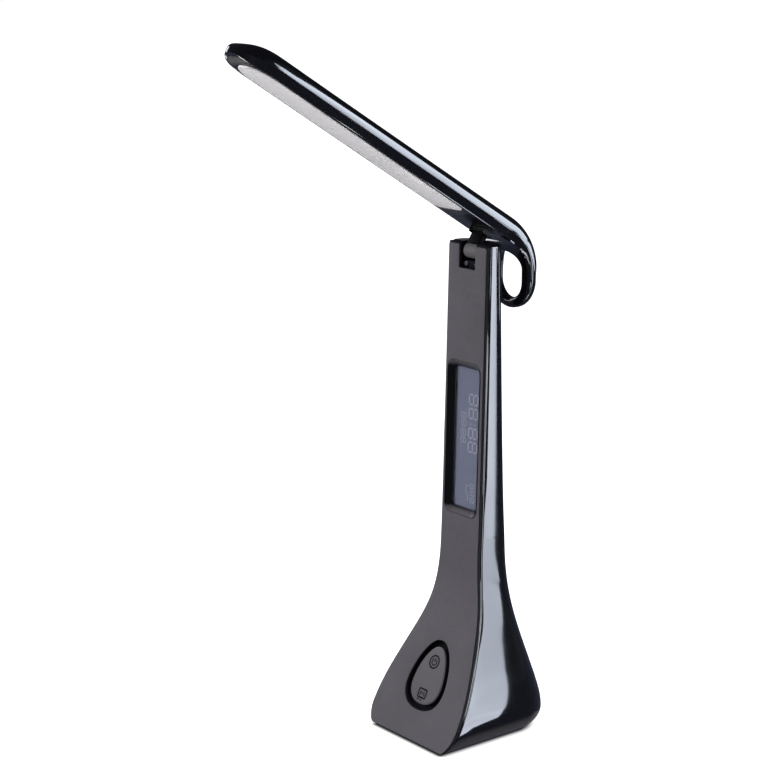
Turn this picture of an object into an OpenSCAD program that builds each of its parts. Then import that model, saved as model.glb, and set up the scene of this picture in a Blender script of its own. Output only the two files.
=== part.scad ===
// Folding LED desk lamp: a flared stand with a calendar display and a rocker key,
// and a slim light head that folds down over the stand about a pin in its top.
// Millimetres. +Z is up, -Y is the front. The origin is the centre of the face it rests on.

/* [Stand] */
// Height of the stand, from the table to the top of the stem
stand_h = 262; // [235:1:300]
// Width of the stem at its top
stem_w = 29.8; // [29:0.2:36]
// Depth of the stem at its top
stem_d = 12.6; // [12.2:0.2:18]
// Width of the base at its widest
base_w = 67; // [62:1:90]
// Depth of the base
base_d = 79; // [75:1:100]
// Height at which the sides start to flare out into the base
flare_z = 104; // [90:1:112]
// Wall of the stand's housing
wall = 1.8; // [1.5:0.1:2.2]
// Radius that tucks the base in towards the table
tuck_r = 12; // [8:1:16]

/* [Front] */
// Thickness of the grained sheet on the front cover
skin_t = 0.6; // [0.4:0.1:1]
// Thickness of the front cover under the sheet
cover_t = 1.7; // [1.4:0.1:2.2]
// Gap between the front cover and the housing's rim
rim_gap = 0.15; // [0.1:0.05:0.3]
// Width of the notch in which the hinge turns
notch_w = 12.6; // [12:0.2:14]
// Height of the notch below the top of the stem
notch_h = 13.5; // [12:0.5:16]

/* [Display] */
// Width of the display's bevelled surround
lcd_w = 26; // [22:0.5:26]
// Height of the display's surround
lcd_h = 82; // [70:1:90]
// Height of the middle of the display above the table
lcd_z = 158.5; // [150:0.5:170]
// Width of the surround's bevel
bevel_w = 4.5; // [3:0.1:5]
// Depth of the surround's bevel
bevel_d = 3.2; // [2:0.1:4]

/* [Rocker key] */
// Length of the key's opening up the slope of the front
key_l = 38; // [34:1:42]
// Width of the key's opening at its widest
key_w = 30; // [24:1:32]
// Gap round the key
key_gap = 2.4; // [1.5:0.1:3]
// Depth of the key's face below the sheet
key_sunk = 0.7; // [0.5:0.1:1.6]
// Height of the middle of the key above the table
key_z = 33.4; // [31:0.2:40]
// Most that the key tilts either way, in degrees
key_tilt = 1.3; // [0.8:0.1:1.5]

/* [Clock keys] */
// Diameter of each clock key
clock_key_d = 5; // [4:0.2:6]
// Distance between the clock keys
clock_key_pitch = 15; // [10:1:20]
// Travel of each clock key
clock_key_travel = 0.5; // [0.3:0.1:0.6]

/* [Hinge] */
// Height of the hinge pin below the top of the stem
pivot_drop = 4.8; // [4.6:0.1:6]
// Distance of the hinge pin behind the front face
pivot_back = 5.5; // [5.2:0.1:7]
// Diameter of the hinge pin
pin_d = 3; // [2.5:0.1:3.2]
// Running clearance round the hinge pin, on the radius
pin_fit = 0.05; // [0.03:0.01:0.08]
// Diameter of the hinge barrel
barrel_d = 8.2; // [7.8:0.1:8.4]
// Length of the hinge barrel
barrel_l = 10.4; // [10:0.1:10.6]
// Width of the hinge arm
arm_w = 8.4; // [7:0.2:9]

/* [Head] */
// Angle of the open head above level
head_tilt = 31.5; // [25:0.5:35]
// Length of the head in front of the hinge pin
head_l = 184.5; // [170:0.5:190]
// Width of the head
head_w = 30; // [29:0.5:34]
// Thickness of the head
head_t = 11; // [10.8:0.1:13]
// Distance from the hinge pin to the underside of the head
head_lift = 11.2; // [11:0.1:12]
// Thickness of the plate under the head
frame_t = 2.2; // [2:0.1:2.4]
// How far the diffuser stands out below the head
diffuser_proud = 1; // [0.5:0.1:1.2]
// Width of the diffuser
diffuser_w = 22.4; // [20:0.2:23]
// Distance from the hinge pin to the near end of the diffuser
diffuser_start = 26.5; // [24:0.5:40]
// Distance from the end of the diffuser to the tip of the head
diffuser_tip = 10; // [10:0.5:20]

/* [Carry ring] */
// Inner radius of the bend that takes the head down behind the stem
bend_r = 24; // [23:0.5:28]
// Length of the straight part below the bend, to the end of the ring
ring_drop = 19.7; // [18:0.1:22]
// Width of the ring's bar at its sides
ring_bar = 7.4; // [6:0.1:8]
// Width of the ring's bar at its lower end
ring_end = 5.6; // [5:0.1:7]
// Thickness of the ring's bar
ring_t = 7.6; // [6:0.1:9]
// Height of the hole in the ring
ring_hole_h = 26; // [22:0.2:26.4]

/* [Hidden] */

$fn = 48;
eps = 0.05;                 // joined shapes run this far into each other
touch = 0.05;               // pieces that lie face to face are this far apart
clear = 0.1;                // and pieces that slip into or past each other this far
reach = 20;                 // cutters reach this far past what they cut

// ---- The stand's outline ----
foot_t = 1.2;               // the feet lift the housing by this much
toe_slope = 0.54;           // how far the front of the base runs back per millimetre of height
face_taper = 0.022;         // the same for the stem, front and back
heel_slope = 0.33;          // and for the back of the base, which runs forward
heel_over = 4;              // the heel's line meets the table this far behind the base
front_blend = 3.6;          // rounding of the bend between base and stem, at the front
rear_blend = 4.7;           // and at the back
flat_z = foot_t + tuck_r - 2;   // the tuck starts here: the flat bottom cuts its last 2 mm off
wide_z = 13;                // height of the widest place
flare_power = 1.25;         // above 1, the sides leave the stem more gently
top_r = 1.5;                // rounding of the housing's top edge
side_taper = 0.002;         // how far each side of the stem widens per millimetre downwards
stem_front = 1.3;           // where the stem's front face is at the top
stem_rear = stem_front + stem_d - 0.4;  // the rear blend adds the 0.4 back at the top
stem_corner = 5.5;          // radius of the rear corners along the stem
base_corner = 21.5;         // and at the foot of the base
corner_z = 110;             // the corners start to grow at this height
corner_run = 95;            // and are full this far below it
tuck_corner = 0.3;          // share of the tuck that the corners lose

function ease(u) = let(v = min(1, max(0, u))) v * v * (3 - 2 * v);
function smooth_min(a, b, k) = (a + b) / 2 - sqrt(pow((a - b) / 2, 2) + k * k);
function smooth_max(a, b, k) = (a + b) / 2 + sqrt(pow((a - b) / 2, 2) + k * k);

function front_y(z) = smooth_min(toe_slope * z - base_d / 2,
    stem_front - face_taper * (stand_h - z), front_blend);
function tuck(z) = z < flat_z ? tuck_r - sqrt(tuck_r * tuck_r - pow(flat_z - z, 2)) :
    z > stand_h - top_r ? top_r - sqrt(max(0, top_r * top_r - pow(z - stand_h + top_r, 2))) : 0;
function rear_y(z) = smooth_min(smooth_max(base_d / 2 + heel_over - heel_slope * z,
    stem_rear + face_taper * (stand_h - z), rear_blend), base_d / 2, 1) - tuck(z);
function half_w(z) = stem_w / 2 + side_taper * (stand_h - z) - tuck(z)
    + (base_w - stem_w) / 2 * ease(pow(max(0, flare_z - z) / (flare_z - wide_z), flare_power));
function corner_r(z) = stem_corner + (base_corner - stem_corner) * ease((corner_z - z) / corner_run)
    - tuck(z) * tuck_corner;

// Points of the housing's section at height z, drawn in by o, with its front edge at y
function stand_section(z, o, y) =
    let(w = half_w(z) - o, back = rear_y(z) - o, r = max(1, corner_r(z) - o), n = 10)
    concat(
        [[-w, y, z], [w, y, z]],
        [for (i = [0:n]) [w - r + r * cos(i * 90 / n), back - r + r * sin(i * 90 / n), z]],
        [for (i = [0:n]) [-w + r - r * sin(i * 90 / n), back - r + r * cos(i * 90 / n), z]]
    );

// Heights of the sections, closer together towards the base
level_count = 26;
level_power = 1.8;
level_gap = 0.3;            // no section lies nearer than this to the end of a piece
levels = [for (i = [0:level_count]) foot_t + (stand_h - top_r - foot_t) * pow(i / level_count, level_power)];
function between(z0, z1) = concat([z0],
    [for (z = levels) if (z > z0 + level_gap && z < z1 - level_gap) z], [z1]);

// A solid through a list of rings, each with the same number of points
module loft(rings) {
    m = len(rings[0]);
    n = len(rings);
    polyhedron(
        points = [for (ring = rings) for (p = ring) p],
        faces = concat(
            [[for (j = [0:m - 1]) j]],
            [for (i = [0:n - 2]) for (j = [0:m - 1]) let(k = (j + 1) % m)
                each [[i * m + j, (i + 1) * m + j, (i + 1) * m + k],
                      [i * m + j, (i + 1) * m + k, i * m + k]]],
            [[for (j = [m - 1:-1:0]) (n - 1) * m + j]]
        )
    );
}

// ---- Places that several pieces share ----
front_t = skin_t + cover_t;
rim_y = front_t + rim_gap;              // the housing's rim, behind the face
face_angle = atan(face_taper);
pivot_y = stem_front + pivot_back;
pivot_z = stand_h - pivot_drop;
plate_t = 2.2;
plate_top = foot_t + plate_t;           // top of the base plate
weight_h = 10;
battery_h = 8;
battery_z = plate_top + weight_h + 0.65;    // its underside, on its pad
board_z = battery_z + battery_h + 1.95; // underside of the main board
board_t = 1.6;
screw_d = 2.2;
screw_hole = screw_d + 0.3;             // bore that a screw passes through

module rounded(w, h, r) {
    hull()
        for (x = [-1, 1], y = [-1, 1])
            translate([x * (w / 2 - r), y * (h / 2 - r)]) circle(r = r, $fn = 24);
}

// A cross-head screw: its head's top at the origin, its shank down -Z
module screw(head_d, head_h, length) {
    difference() {
        translate([0, 0, -head_h]) cylinder(d = head_d, h = head_h);
        for (a = [0, 90])
            rotate([0, 0, a]) translate([-head_d / 3, -0.25, -head_h * 0.45])
                cube([head_d / 1.5, 0.5, head_h]);
    }
    translate([0, 0, -length]) cylinder(d = screw_d, h = length - head_h + eps);
}

// ---- Housing ----
boss_at = [[22.5, -14], [21.5, 10]];    // the base screws, on either side
boss_d = 6;
boss_h = 9;
boss_rib_t = 2;
bracket_boss_d = 4.6;
clock_key_z = [for (i = [-1:1]) lcd_z + i * clock_key_pitch];
socket_w = 9;
socket_h = 3.2;
socket_z = board_z + board_t + socket_h / 2;
slot_back = pivot_y + 5.4;              // the slot in the top ends here
bracket_screw = [[-4.2, pivot_z - 6.9], [4.2, pivot_z - 6.9], [0, pivot_z - 14]];
bracket_back = pivot_y - 0.4;           // rear face of the bracket's plate

module rear_shell() {
    color("#111114")
    difference() {
        union() {
            difference() {
                loft([for (z = concat(levels, [for (a = [30:30:90]) stand_h - top_r + top_r * sin(a)]))
                    stand_section(z, 0, front_y(z) + rim_y)]);
                loft([for (z = between(foot_t, stand_h - wall)) stand_section(z, wall, front_y(z) - 2)]);
                translate([0, 0, -1]) linear_extrude(2)
                    polygon([for (p = stand_section(foot_t, wall, front_y(foot_t) - 2)) [p[0], p[1]]]);
            }
            // bosses for the base screws, each on a rib from the side wall
            for (p = boss_at, s = [-1, 1]) {
                rib_l = base_w / 2 - wall - 0.8 - p[0];
                translate([s * p[0], p[1], plate_top]) cylinder(d = boss_d, h = boss_h);
                translate([s > 0 ? p[0] : -p[0] - rib_l, p[1] - boss_rib_t / 2, plate_top + 2])
                    cube([rib_l, boss_rib_t, boss_h - 2]);
            }
            // bosses behind the hinge bracket
            for (p = bracket_screw)
                translate([p[0], bracket_back, p[1]]) rotate([-90, 0, 0])
                    cylinder(d = bracket_boss_d, h = rear_y(p[1]) - wall / 2 - bracket_back);
        }
        for (p = boss_at, s = [-1, 1])
            translate([s * p[0], p[1], plate_top - 1]) cylinder(d = screw_d, h = boss_h);
        for (p = bracket_screw)
            translate([p[0], bracket_back - 1, p[1]]) rotate([-90, 0, 0]) cylinder(d = screw_d, h = 5.2);
        for (z = clock_key_z)
            translate([0, 0, z]) rotate([-90, 0, 0])
                cylinder(d = clock_key_d + 2 * clear, h = base_d);
        // slot for the arm, from the notch back over the pin
        translate([-notch_w / 2, -5, stand_h - wall - 1])
            cube([notch_w, slot_back + 5, wall + 2]);
        // opening for the charging plug
        translate([0, base_d / 4, socket_z]) rotate([-90, 0, 0]) linear_extrude(base_d / 2)
            rounded(socket_w + 4 * clear, socket_h + 4 * clear, 1.2);
    }
}

// A sheet that follows the front, from depth a to depth b behind its face
module front_sheet(a, b, z0, z1, o) {
    loft([for (z = between(z0, z1)) let(w = half_w(min(z, stand_h - top_r)) - o)
        [[-w, front_y(z) + a, z], [w, front_y(z) + a, z],
         [w, front_y(z) + b, z], [-w, front_y(z) + b, z]]]);
}

module notch(extra) {
    translate([-notch_w / 2 - extra, -reach / 2, stand_h - notch_h - extra])
        cube([notch_w + 2 * extra, reach, notch_h + reach]);
}
module cut_through() {
    translate([0, 0, -reach / 2]) linear_extrude(reach) children();
}

// The egg outline of the key, up the slope, drawn out by o
egg_lean = 0.2;             // how much narrower it is towards the top
egg_power = 2.25;           // above 2, its ends are blunter than an ellipse's
module egg(o) {
    polygon([for (a = [0:5:355]) let(s = sin(a), bulge = pow(1 - pow(abs(s), egg_power), 1 / egg_power))
        [(key_w / 2 + o) * (1 - egg_lean * s) * sign(cos(a)) * bulge, (key_l / 2 + o) * s]]);
}

// Places children on the front: x across, y up the face, z out of the face
module on_face(z, angle) {
    translate([0, front_y(z), z]) rotate([90 - angle, 0, 0]) children();
}

key_half_z = key_l / 2 * 0.88;      // half the key's height, as the slope lies
key_angle = atan((front_y(key_z + key_half_z) - front_y(key_z - key_half_z)) / (2 * key_half_z));
module on_slope() {
    on_face(key_z, key_angle) children();
}
module on_lcd() {
    on_face(lcd_z, face_angle) children();
}

// Depths below the face of the slope, for the key and what carries it
key_axis = -4.6;            // the key's pivots
flange_top = -3.6;          // top of the flange that holds the key in
flange_t = 1.4;
pivot_pin_d = 2;
key_lug_t = 2;
key_lug_x = key_w / 2 + 2.2;    // inner face of the lugs that hold the key's pivots
key_board_at = -9.8;        // top of the key's board
key_post = [[9, 22.6], [12, -21.8]];    // across and up the slope, on either side
key_post_d = 4.4;

module front_cover() {
    color("#151517")
    union() {
        difference() {
            front_sheet(skin_t, front_t, foot_t, stand_h - 0.3, 0.15);
            notch(0);
            on_lcd() cut_through() rounded(lcd_w + 3 * clear, lcd_h + 3 * clear, lcd_r + clear);
            on_slope() cut_through() egg(0.2);
        }
        // lugs with the bores that the key's pivots turn in
        on_slope()
            for (s = [-1, 1])
                difference() {
                    translate([s > 0 ? key_lug_x : -key_lug_x - key_lug_t, -2.4, key_axis - 2])
                        cube([key_lug_t, 4.8, 4.6]);
                    translate([s * (key_lug_x + key_lug_t / 2), 0, key_axis]) rotate([0, 90, 0])
                        cylinder(d = pivot_pin_d + 2 * pin_fit, h = 2 * key_lug_t, center = true);
                }
        // posts that carry the key's board
        on_slope()
            for (p = key_post, s = [-1, 1])
                difference() {
                    translate([s * p[0], p[1], key_board_at])
                        cylinder(d = key_post_d, h = -key_board_at - front_t + 0.5);
                    translate([s * p[0], p[1], key_board_at - 1]) cylinder(d = screw_d, h = 6);
                }
    }
}

module front_skin() {
    color("#58555a")
    difference() {
        front_sheet(0, skin_t, foot_t + 0.4, stand_h - 1.4, 0.2);
        notch(0.1);
        on_lcd() cut_through() rounded(lcd_w + 4 * clear, lcd_h + 4 * clear, lcd_r + clear);
        on_slope() cut_through() egg(0.3);
    }
}

module base_plate() {
    color("#1a1a1c")
    difference() {
        union() {
            translate([0, 0, foot_t]) linear_extrude(plate_t)
                polygon([for (p = stand_section(foot_t, wall + 0.2, front_y(plate_top) + front_t + 0.3))
                    [p[0], p[1]]]);
            // posts that carry the main board
            for (p = board_post, s = [-1, 1])
                translate([s * p[0], p[1], foot_t]) cylinder(d = 4.8, h = board_z - foot_t);
        }
        for (p = boss_at, s = [-1, 1])
            translate([s * p[0], p[1], foot_t - 1]) {
                cylinder(d = screw_hole, h = plate_t + 2);
                cylinder(d = base_screw_d + 4 * clear, h = 1 + screw_sunk);
            }
        for (p = foot_at)
            translate([p[0], p[1], foot_t - 1]) cylinder(d = foot_d + 2 * clear, h = 1 + foot_sunk);
        for (p = board_post, s = [-1, 1])
            translate([s * p[0], p[1], board_z - 6]) cylinder(d = screw_d, h = 7);
    }
}

board_post = [[19, -2], [19, 21]];
// one foot near each corner, and one in the middle under the weight
foot_at = [[-19.5, -28], [19.5, -28], [0, 0], [-17, 22], [17, 22]];
foot_d = 10;
foot_sunk = 0.6;            // depth of the seats for the feet
base_screw_d = 4;
screw_sunk = 1;             // and of the counterbores for the screws' heads

module rubber_feet() {
    color("#2b2b2d")
    for (p = foot_at)
        translate([p[0], p[1], 0]) {
            cylinder(d1 = foot_d - 1, d2 = foot_d, h = 0.5);
            translate([0, 0, 0.5]) cylinder(d = foot_d, h = foot_t + foot_sunk - 0.5);
        }
}

module base_screws() {
    color("#8a8c90")
    for (p = boss_at, s = [-1, 1])
        translate([s * p[0], p[1], foot_t + 0.1]) rotate([180, 0, 0])
            screw(base_screw_d, screw_sunk - 0.15, 8);
}

// ---- Inside the base ----
module counterweight() {
    color("#5d6166")
    translate([-16.5, -15, plate_top + touch]) cube([33, 45, weight_h]);
}

module battery_pad() {
    color("#3a3a3a")
    translate([-14, -12, plate_top + weight_h + 2 * touch]) cube([28, 40, 0.5]);
}

module battery() {
    color("#3f6fa8")
    union() {
        translate([0, -14, battery_z + battery_h / 2]) rotate([-90, 0, 0]) linear_extrude(42)
            rounded(31, battery_h, 2.5);
        // the end cap with its leads' solder tabs
        translate([-10, 28, battery_z + 1]) cube([20, 2, battery_h - 2]);
    }
}

module main_board() {
    color("#1f5a35")
    difference() {
        translate([-21.5, -5, board_z + touch]) cube([43, 35, board_t]);
        for (p = board_post, s = [-1, 1])
            translate([s * p[0], p[1], board_z - 1]) cylinder(d = screw_hole, h = board_t + 2);
    }
}

board_top = board_z + board_t + 2 * touch;  // what stands on the board starts here
module board_parts() {
    color("#202022") {
        translate([3, 2, board_top]) cube([7, 7, 1]);
        translate([-6, 17, board_top]) cube([5, 4, 1.5]);
        translate([3, 14, board_top]) cube([6, 6, 3]);
    }
    color("#6c6c72")
    for (x = [-14, -9])
        translate([x, 24, board_top]) cylinder(d = 4, h = 5.4);
}

module buzzer() {
    color("#161616")
    translate([-9.5, 5, board_top])
        difference() {
            cylinder(d = 9, h = 4.2);
            translate([0, 0, 2.5]) cylinder(d = 1.6, h = 3);
        }
}

socket_l = 7.3;
socket_back_t = 1.5;
socket_wall = 0.4;
module charge_socket() {
    inner = rear_y(socket_z) - socket_l - 0.2;  // the socket's mouth is this near to the housing's face
    color("#c4c6c9")
    translate([0, inner, socket_z + clear]) rotate([-90, 0, 0])
        difference() {
            linear_extrude(socket_l) rounded(socket_w, socket_h, 1.1);
            translate([0, 0, socket_back_t]) linear_extrude(socket_l)
                rounded(socket_w - 2 * socket_wall, socket_h - 2 * socket_wall, 0.9);
        }
    // the tongue with the contacts
    color("#26262a")
    translate([-3.2, inner + socket_back_t - eps, socket_z - 0.25]) cube([6.4, 4.4, 0.7]);
}

module board_screws() {
    color("#8a8c90")
    for (p = board_post, s = [-1, 1])
        translate([s * p[0], p[1], board_top + 1.3]) screw(base_screw_d, 1.2, 6);
}

// ---- Rocker key and what it presses ----
key_switch_y = 11.5;
plunger_gap = 0.45;         // the key tilts this far at its switches before it meets one

module rocker_key() {
    color("#58555a")
    on_slope()
        union() {
            translate([0, 0, flange_top - eps]) linear_extrude(-flange_top - key_sunk + eps)
                egg(-key_gap);
            translate([0, 0, flange_top - flange_t]) linear_extrude(flange_t) egg(1.2);
            translate([0, 0, key_axis]) rotate([0, 90, 0])
                cylinder(d = pivot_pin_d, h = 2 * (key_lug_x + 1.8), center = true);
        }
}

module key_board() {
    color("#1f5a35")
    on_slope()
        difference() {
            translate([0, 0, key_board_at - touch - 1.2]) linear_extrude(1.2) rounded(29, 50, 3);
            for (p = key_post, s = [-1, 1])
                translate([s * p[0], p[1], key_board_at - 3]) cylinder(d = screw_hole, h = 6);
        }
}

// A push switch standing on its board, with its plunger's end at height h
module switch(h) {
    color("#2a2a2c") translate([-3, -3, 0]) cube([6, 6, h * 0.7]);
    color("#b9bbbf") translate([0, 0, h * 0.7 - eps]) cylinder(d = 3, h = h * 0.3 + eps);
}

module key_switches() {
    on_slope()
        for (s = [-1, 1])
            translate([0, s * key_switch_y, key_board_at + touch])
                switch(flange_top - flange_t - plunger_gap - key_board_at - touch);
}

module key_screws() {
    color("#8a8c90")
    on_slope()
        for (p = key_post, s = [-1, 1])
            translate([s * p[0], p[1], key_board_at - 2.5]) rotate([180, 0, 0]) screw(3.8, 1.2, 5);
}

// ---- Display ----
glass_w = lcd_w - 2 * bevel_w;
glass_h = lcd_h - 2 * bevel_w + 1;
window_at = -bevel_d - 1;           // front of the window
window_t = 1;
window_w = glass_w + 2.2;
window_h = glass_h + 2.2;
lcd_t = 2.4;
lcd_back = window_at - window_t - lcd_t - 0.2;
lcd_r = 4.9;                        // corners of the surround
lcd_flange = [lcd_w - 1, lcd_h + 12];   // what lies behind the cover, with the display's posts
lcd_post = [lcd_w / 2 - 4.6, lcd_h / 2 + 3.4];
lcd_post_hole = 1.6;
module at_lcd_posts(z) {
    for (s = [-1, 1], t = [-1, 1])
        translate([s * lcd_post[0], t * lcd_post[1], z]) children();
}

module lcd_bezel() {
    color("#0e0e10")
    on_lcd()
        difference() {
            union() {
                translate([0, 0, window_at - window_t]) linear_extrude(window_t - window_at)
                    rounded(lcd_w, lcd_h, lcd_r);
                translate([0, 0, -front_t - 1.8]) linear_extrude(1.6)
                    rounded(lcd_flange[0], lcd_flange[1], 2);
                at_lcd_posts(lcd_back) cylinder(d = 4, h = -front_t - 0.3 - lcd_back);
            }
            hull() {
                translate([0, 0, -bevel_d]) linear_extrude(0.01) rounded(glass_w, glass_h, 1.4);
                translate([0, 0, eps]) linear_extrude(0.01)
                    rounded(lcd_w - 0.3, lcd_h - 0.3, lcd_r - 0.1);
            }
            translate([0, 0, -bevel_d - 5]) linear_extrude(5 + clear) rounded(glass_w, glass_h, 1.4);
            translate([0, 0, window_at - 5]) linear_extrude(5)
                rounded(window_w + 2 * clear, window_h + 2 * clear, 1);
            at_lcd_posts(lcd_back - 1) cylinder(d = lcd_post_hole, h = 5);
        }
}

module lcd_window() {
    color("#9aa4b4", 0.4)
    on_lcd() translate([0, 0, window_at - window_t - touch]) linear_extrude(window_t)
        rounded(window_w, window_h, 0.9);
}

module lcd_glass() {
    color("#5d6273")
    on_lcd() translate([0, 0, lcd_back + touch]) linear_extrude(lcd_t)
        rounded(glass_w + 2.8, glass_h + 3, 0.6);
}

module lcd_board() {
    color("#1f5a35")
    on_lcd()
        difference() {
            translate([0, 0, lcd_back - touch - 1.2]) linear_extrude(1.2)
                rounded(lcd_flange[0] - 2, lcd_flange[1] - 0.6, 1.5);
            at_lcd_posts(lcd_back - 3) cylinder(d = lcd_post_hole + 0.3, h = 6);
        }
}

module lcd_screws() {
    color("#8a8c90")
    on_lcd()
        at_lcd_posts(lcd_back - 2.3) {
            cylinder(d = 3.2, h = 1);
            cylinder(d = lcd_post_hole, h = 5);
        }
}

// The clock keys' switches stand on the back of the display's board
switch_root = front_y(lcd_z) - lcd_back + 1.35;
switch_h = 2.9;
function switch_end(z) = switch_root + face_taper * (z - lcd_z) + switch_h;

module clock_switches() {
    for (z = clock_key_z)
        translate([0, switch_end(z) - switch_h, z]) rotate([-90 - face_angle, 0, 0]) switch(switch_h);
}

clock_key_proud = 0.8;      // the keys stand out from the housing by this much
module clock_key(z) {
    outer = rear_y(z);
    stem_end = switch_end(z) + clock_key_travel + 0.15;
    color("#1b1b1d")
    translate([0, 0, z]) rotate([-90, 0, 0]) {
        translate([0, 0, outer - wall - 0.4]) cylinder(d = clock_key_d, h = wall + 0.4 + clock_key_proud);
        // the flange that keeps the key in
        translate([0, 0, outer - wall - 1.3]) cylinder(d = clock_key_d + 1.6, h = 1);
        translate([0, 0, stem_end]) cylinder(d = 2.4, h = outer - wall - 1 - stem_end);
    }
}
module clock_key_1() { clock_key(clock_key_z[0]); }
module clock_key_2() { clock_key(clock_key_z[1]); }
module clock_key_3() { clock_key(clock_key_z[2]); }

// ---- Hinge ----
washer_t = 1.2;
ear_x = barrel_l / 2 + washer_t + 2 * touch;    // inner face of the bracket's ears
ear_t = 2;
ear_end = ear_x + ear_t;
pin_head_d = 5.4;
plate_h = 12.4;             // height of the bracket's plate
plate_deep = 2;             // and its thickness

module across(x0, x1, d) {
    translate([x0, pivot_y, pivot_z]) rotate([0, 90, 0]) cylinder(d = d, h = x1 - x0);
}

module hinge_bracket() {
    bottom = pivot_z - plate_h - 5;
    color("#2c2c30")
    difference() {
        union() {
            for (s = [-1, 1]) {
                translate([s > 0 ? ear_x : -ear_end, pivot_y - 2.4, bottom])
                    cube([ear_t, 6, pivot_z - bottom]);
                across(s > 0 ? ear_x : -ear_end, s > 0 ? ear_end : -ear_x, pin_head_d);
            }
            translate([-ear_end, bracket_back - plate_deep, bottom])
                cube([2 * ear_end, plate_deep, plate_h]);
        }
        across(-reach, reach, pin_d + 2 * pin_fit);
        for (p = bracket_screw)
            translate([p[0], 0, p[1]]) rotate([-90, 0, 0]) cylinder(d = screw_hole, h = reach);
    }
}

module bracket_screws() {
    color("#c9cbce")
    for (p = bracket_screw)
        translate([p[0], bracket_back - plate_deep - 1 - touch, p[1]]) rotate([90, 0, 0])
            screw(3.3, 1, 6.6);
}

module hinge_pin() {
    color("#b4b6ba")
    difference() {
        union() {
            across(-ear_end - touch, ear_end + 3, pin_d);
            across(-ear_end - 1.6, -ear_end - touch, pin_head_d);
        }
        // slot for a screwdriver
        translate([-ear_end - 2, pivot_y - 4, pivot_z - 0.4]) cube([1.1, 8, 0.8]);
    }
}

module hinge_nut() {
    color("#9a9ca0")
    difference() {
        translate([ear_end + touch, pivot_y, pivot_z]) rotate([0, 90, 0])
            cylinder(d = 5.6, h = 2.2, $fn = 6);
        across(0, reach, pin_d + 0.02);
    }
}

module friction_washers() {
    color("#a8853a")
    for (s = [-1, 1])
        difference() {
            across(s > 0 ? barrel_l / 2 + touch : -ear_x + touch,
                s > 0 ? ear_x - touch : -barrel_l / 2 - touch, pin_head_d);
            across(-reach, reach, pin_d + 2 * clear);
        }
}

// ---- Head: x across, y back along the head, z away from its underside; origin on the pin ----
module on_head() {
    translate([0, pivot_y, pivot_z]) rotate([-head_tilt, 0, 0]) children();
}

under = head_lift;                  // underside of the head
head_top = under + head_t;
arm_y = [-4, -0.2];                 // front and back faces of the arm
arm_t = arm_y[1] - arm_y[0];
arm_root = 2.3;                     // the arm starts this far from the pin's axis, in the barrel
lug_under = under - 2.5;

module hinge_barrel() {
    color("#6a676c")
    on_head()
        difference() {
            rotate([0, 90, 0]) cylinder(d = barrel_d, h = barrel_l, center = true);
            rotate([0, 90, 0]) cylinder(d = pin_d + 2 * pin_fit, h = barrel_l + 2, center = true);
            translate([-arm_w / 2 - touch, arm_y[0] - touch, arm_root])
                cube([arm_w + 2 * touch, arm_t + 2 * touch, barrel_d]);
        }
}

foot_w = 17.4;
foot_l = 17;
foot_at_y = -15;                    // front edge of the arm's foot, inside the head
foot_z = under + frame_t + 1.2;     // its underside, above its screws' heads
foot_h = 1.6;
arm_screw = [[6.4, -12], [6.4, -2.5]];

module hinge_arm() {
    color("#18181a")
    on_head()
        difference() {
            union() {
                translate([-arm_w / 2, arm_y[0], arm_root + touch])
                    cube([arm_w, arm_t, foot_z + eps - arm_root]);
                translate([-foot_w / 2, foot_at_y, foot_z]) cube([foot_w, foot_l, foot_h]);
            }
            for (p = arm_screw, s = [-1, 1])
                translate([s * p[0], p[1], foot_z - 1]) cylinder(d = screw_hole, h = foot_h + 2);
        }
}

module arm_screws() {
    color("#8a8c90")
    on_head()
        for (p = arm_screw, s = [-1, 1])
            translate([s * p[0], p[1], foot_z - 1]) rotate([180, 0, 0]) screw(3.8, 0.95, 5.8);
}

// Section of the head, w wide either side, from height a to height b: two halves of
// superellipses that meet at the share m of the height, the upper of power p, the lower of q
function head_ring(w, a, b, m, p, q) =
    let(mid = a + (b - a) * m, n = 16)
    concat(
        [for (i = [0:n]) let(t = i * 180 / n)
            [w * sign(cos(t)) * pow(abs(cos(t)), 2 / p), mid + (b - mid) * pow(sin(t), 2 / p)]],
        [for (i = [n - 1:-1:1]) let(t = i * 180 / n)
            [w * sign(cos(t)) * pow(abs(cos(t)), 2 / q), mid - (mid - a) * pow(sin(t), 2 / q)]]
    );
slab_share = 0.36;
slab_upper = 4.4;
slab_lower = 7;
function slab_ring(w, a, b) = head_ring(w, a, b, slab_share, slab_upper, slab_lower);

// The nose: its sides close in over side_l, its top falls over fall_l, its underside
// rises over rise_l
side_l = 22.5;
fall_l = 17;
rise_l = 12;
nose_rise = 1.7;
nose_mid = under + 2.9;             // the top falls to here at the tip
fall_power = 2.2;
function past(s, l) = max(0, s - head_l + l) / l;
function nose_w(s) = head_w / 2 * pow(max(0, 1 - pow(past(s, side_l), 2)), 0.5);
function nose_top(s) = nose_mid
    + (head_top - nose_mid) * pow(max(0, 1 - pow(past(s, fall_l), fall_power)), 0.5);
function nose_under(s) = under + nose_rise * pow(past(s, rise_l), 2);

// What lies below the rising underside of the nose
module nose_cut(down) {
    rotate([90, 0, -90]) translate([0, 0, -head_w]) linear_extrude(2 * head_w)
        polygon(concat([[head_l + 5, down], [head_l - rise_l, down]],
            [for (i = [0:8]) let(s = head_l - rise_l + i * rise_l / 8) [s, nose_under(s)]],
            [[head_l + 5, nose_under(head_l)]]));
}

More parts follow.
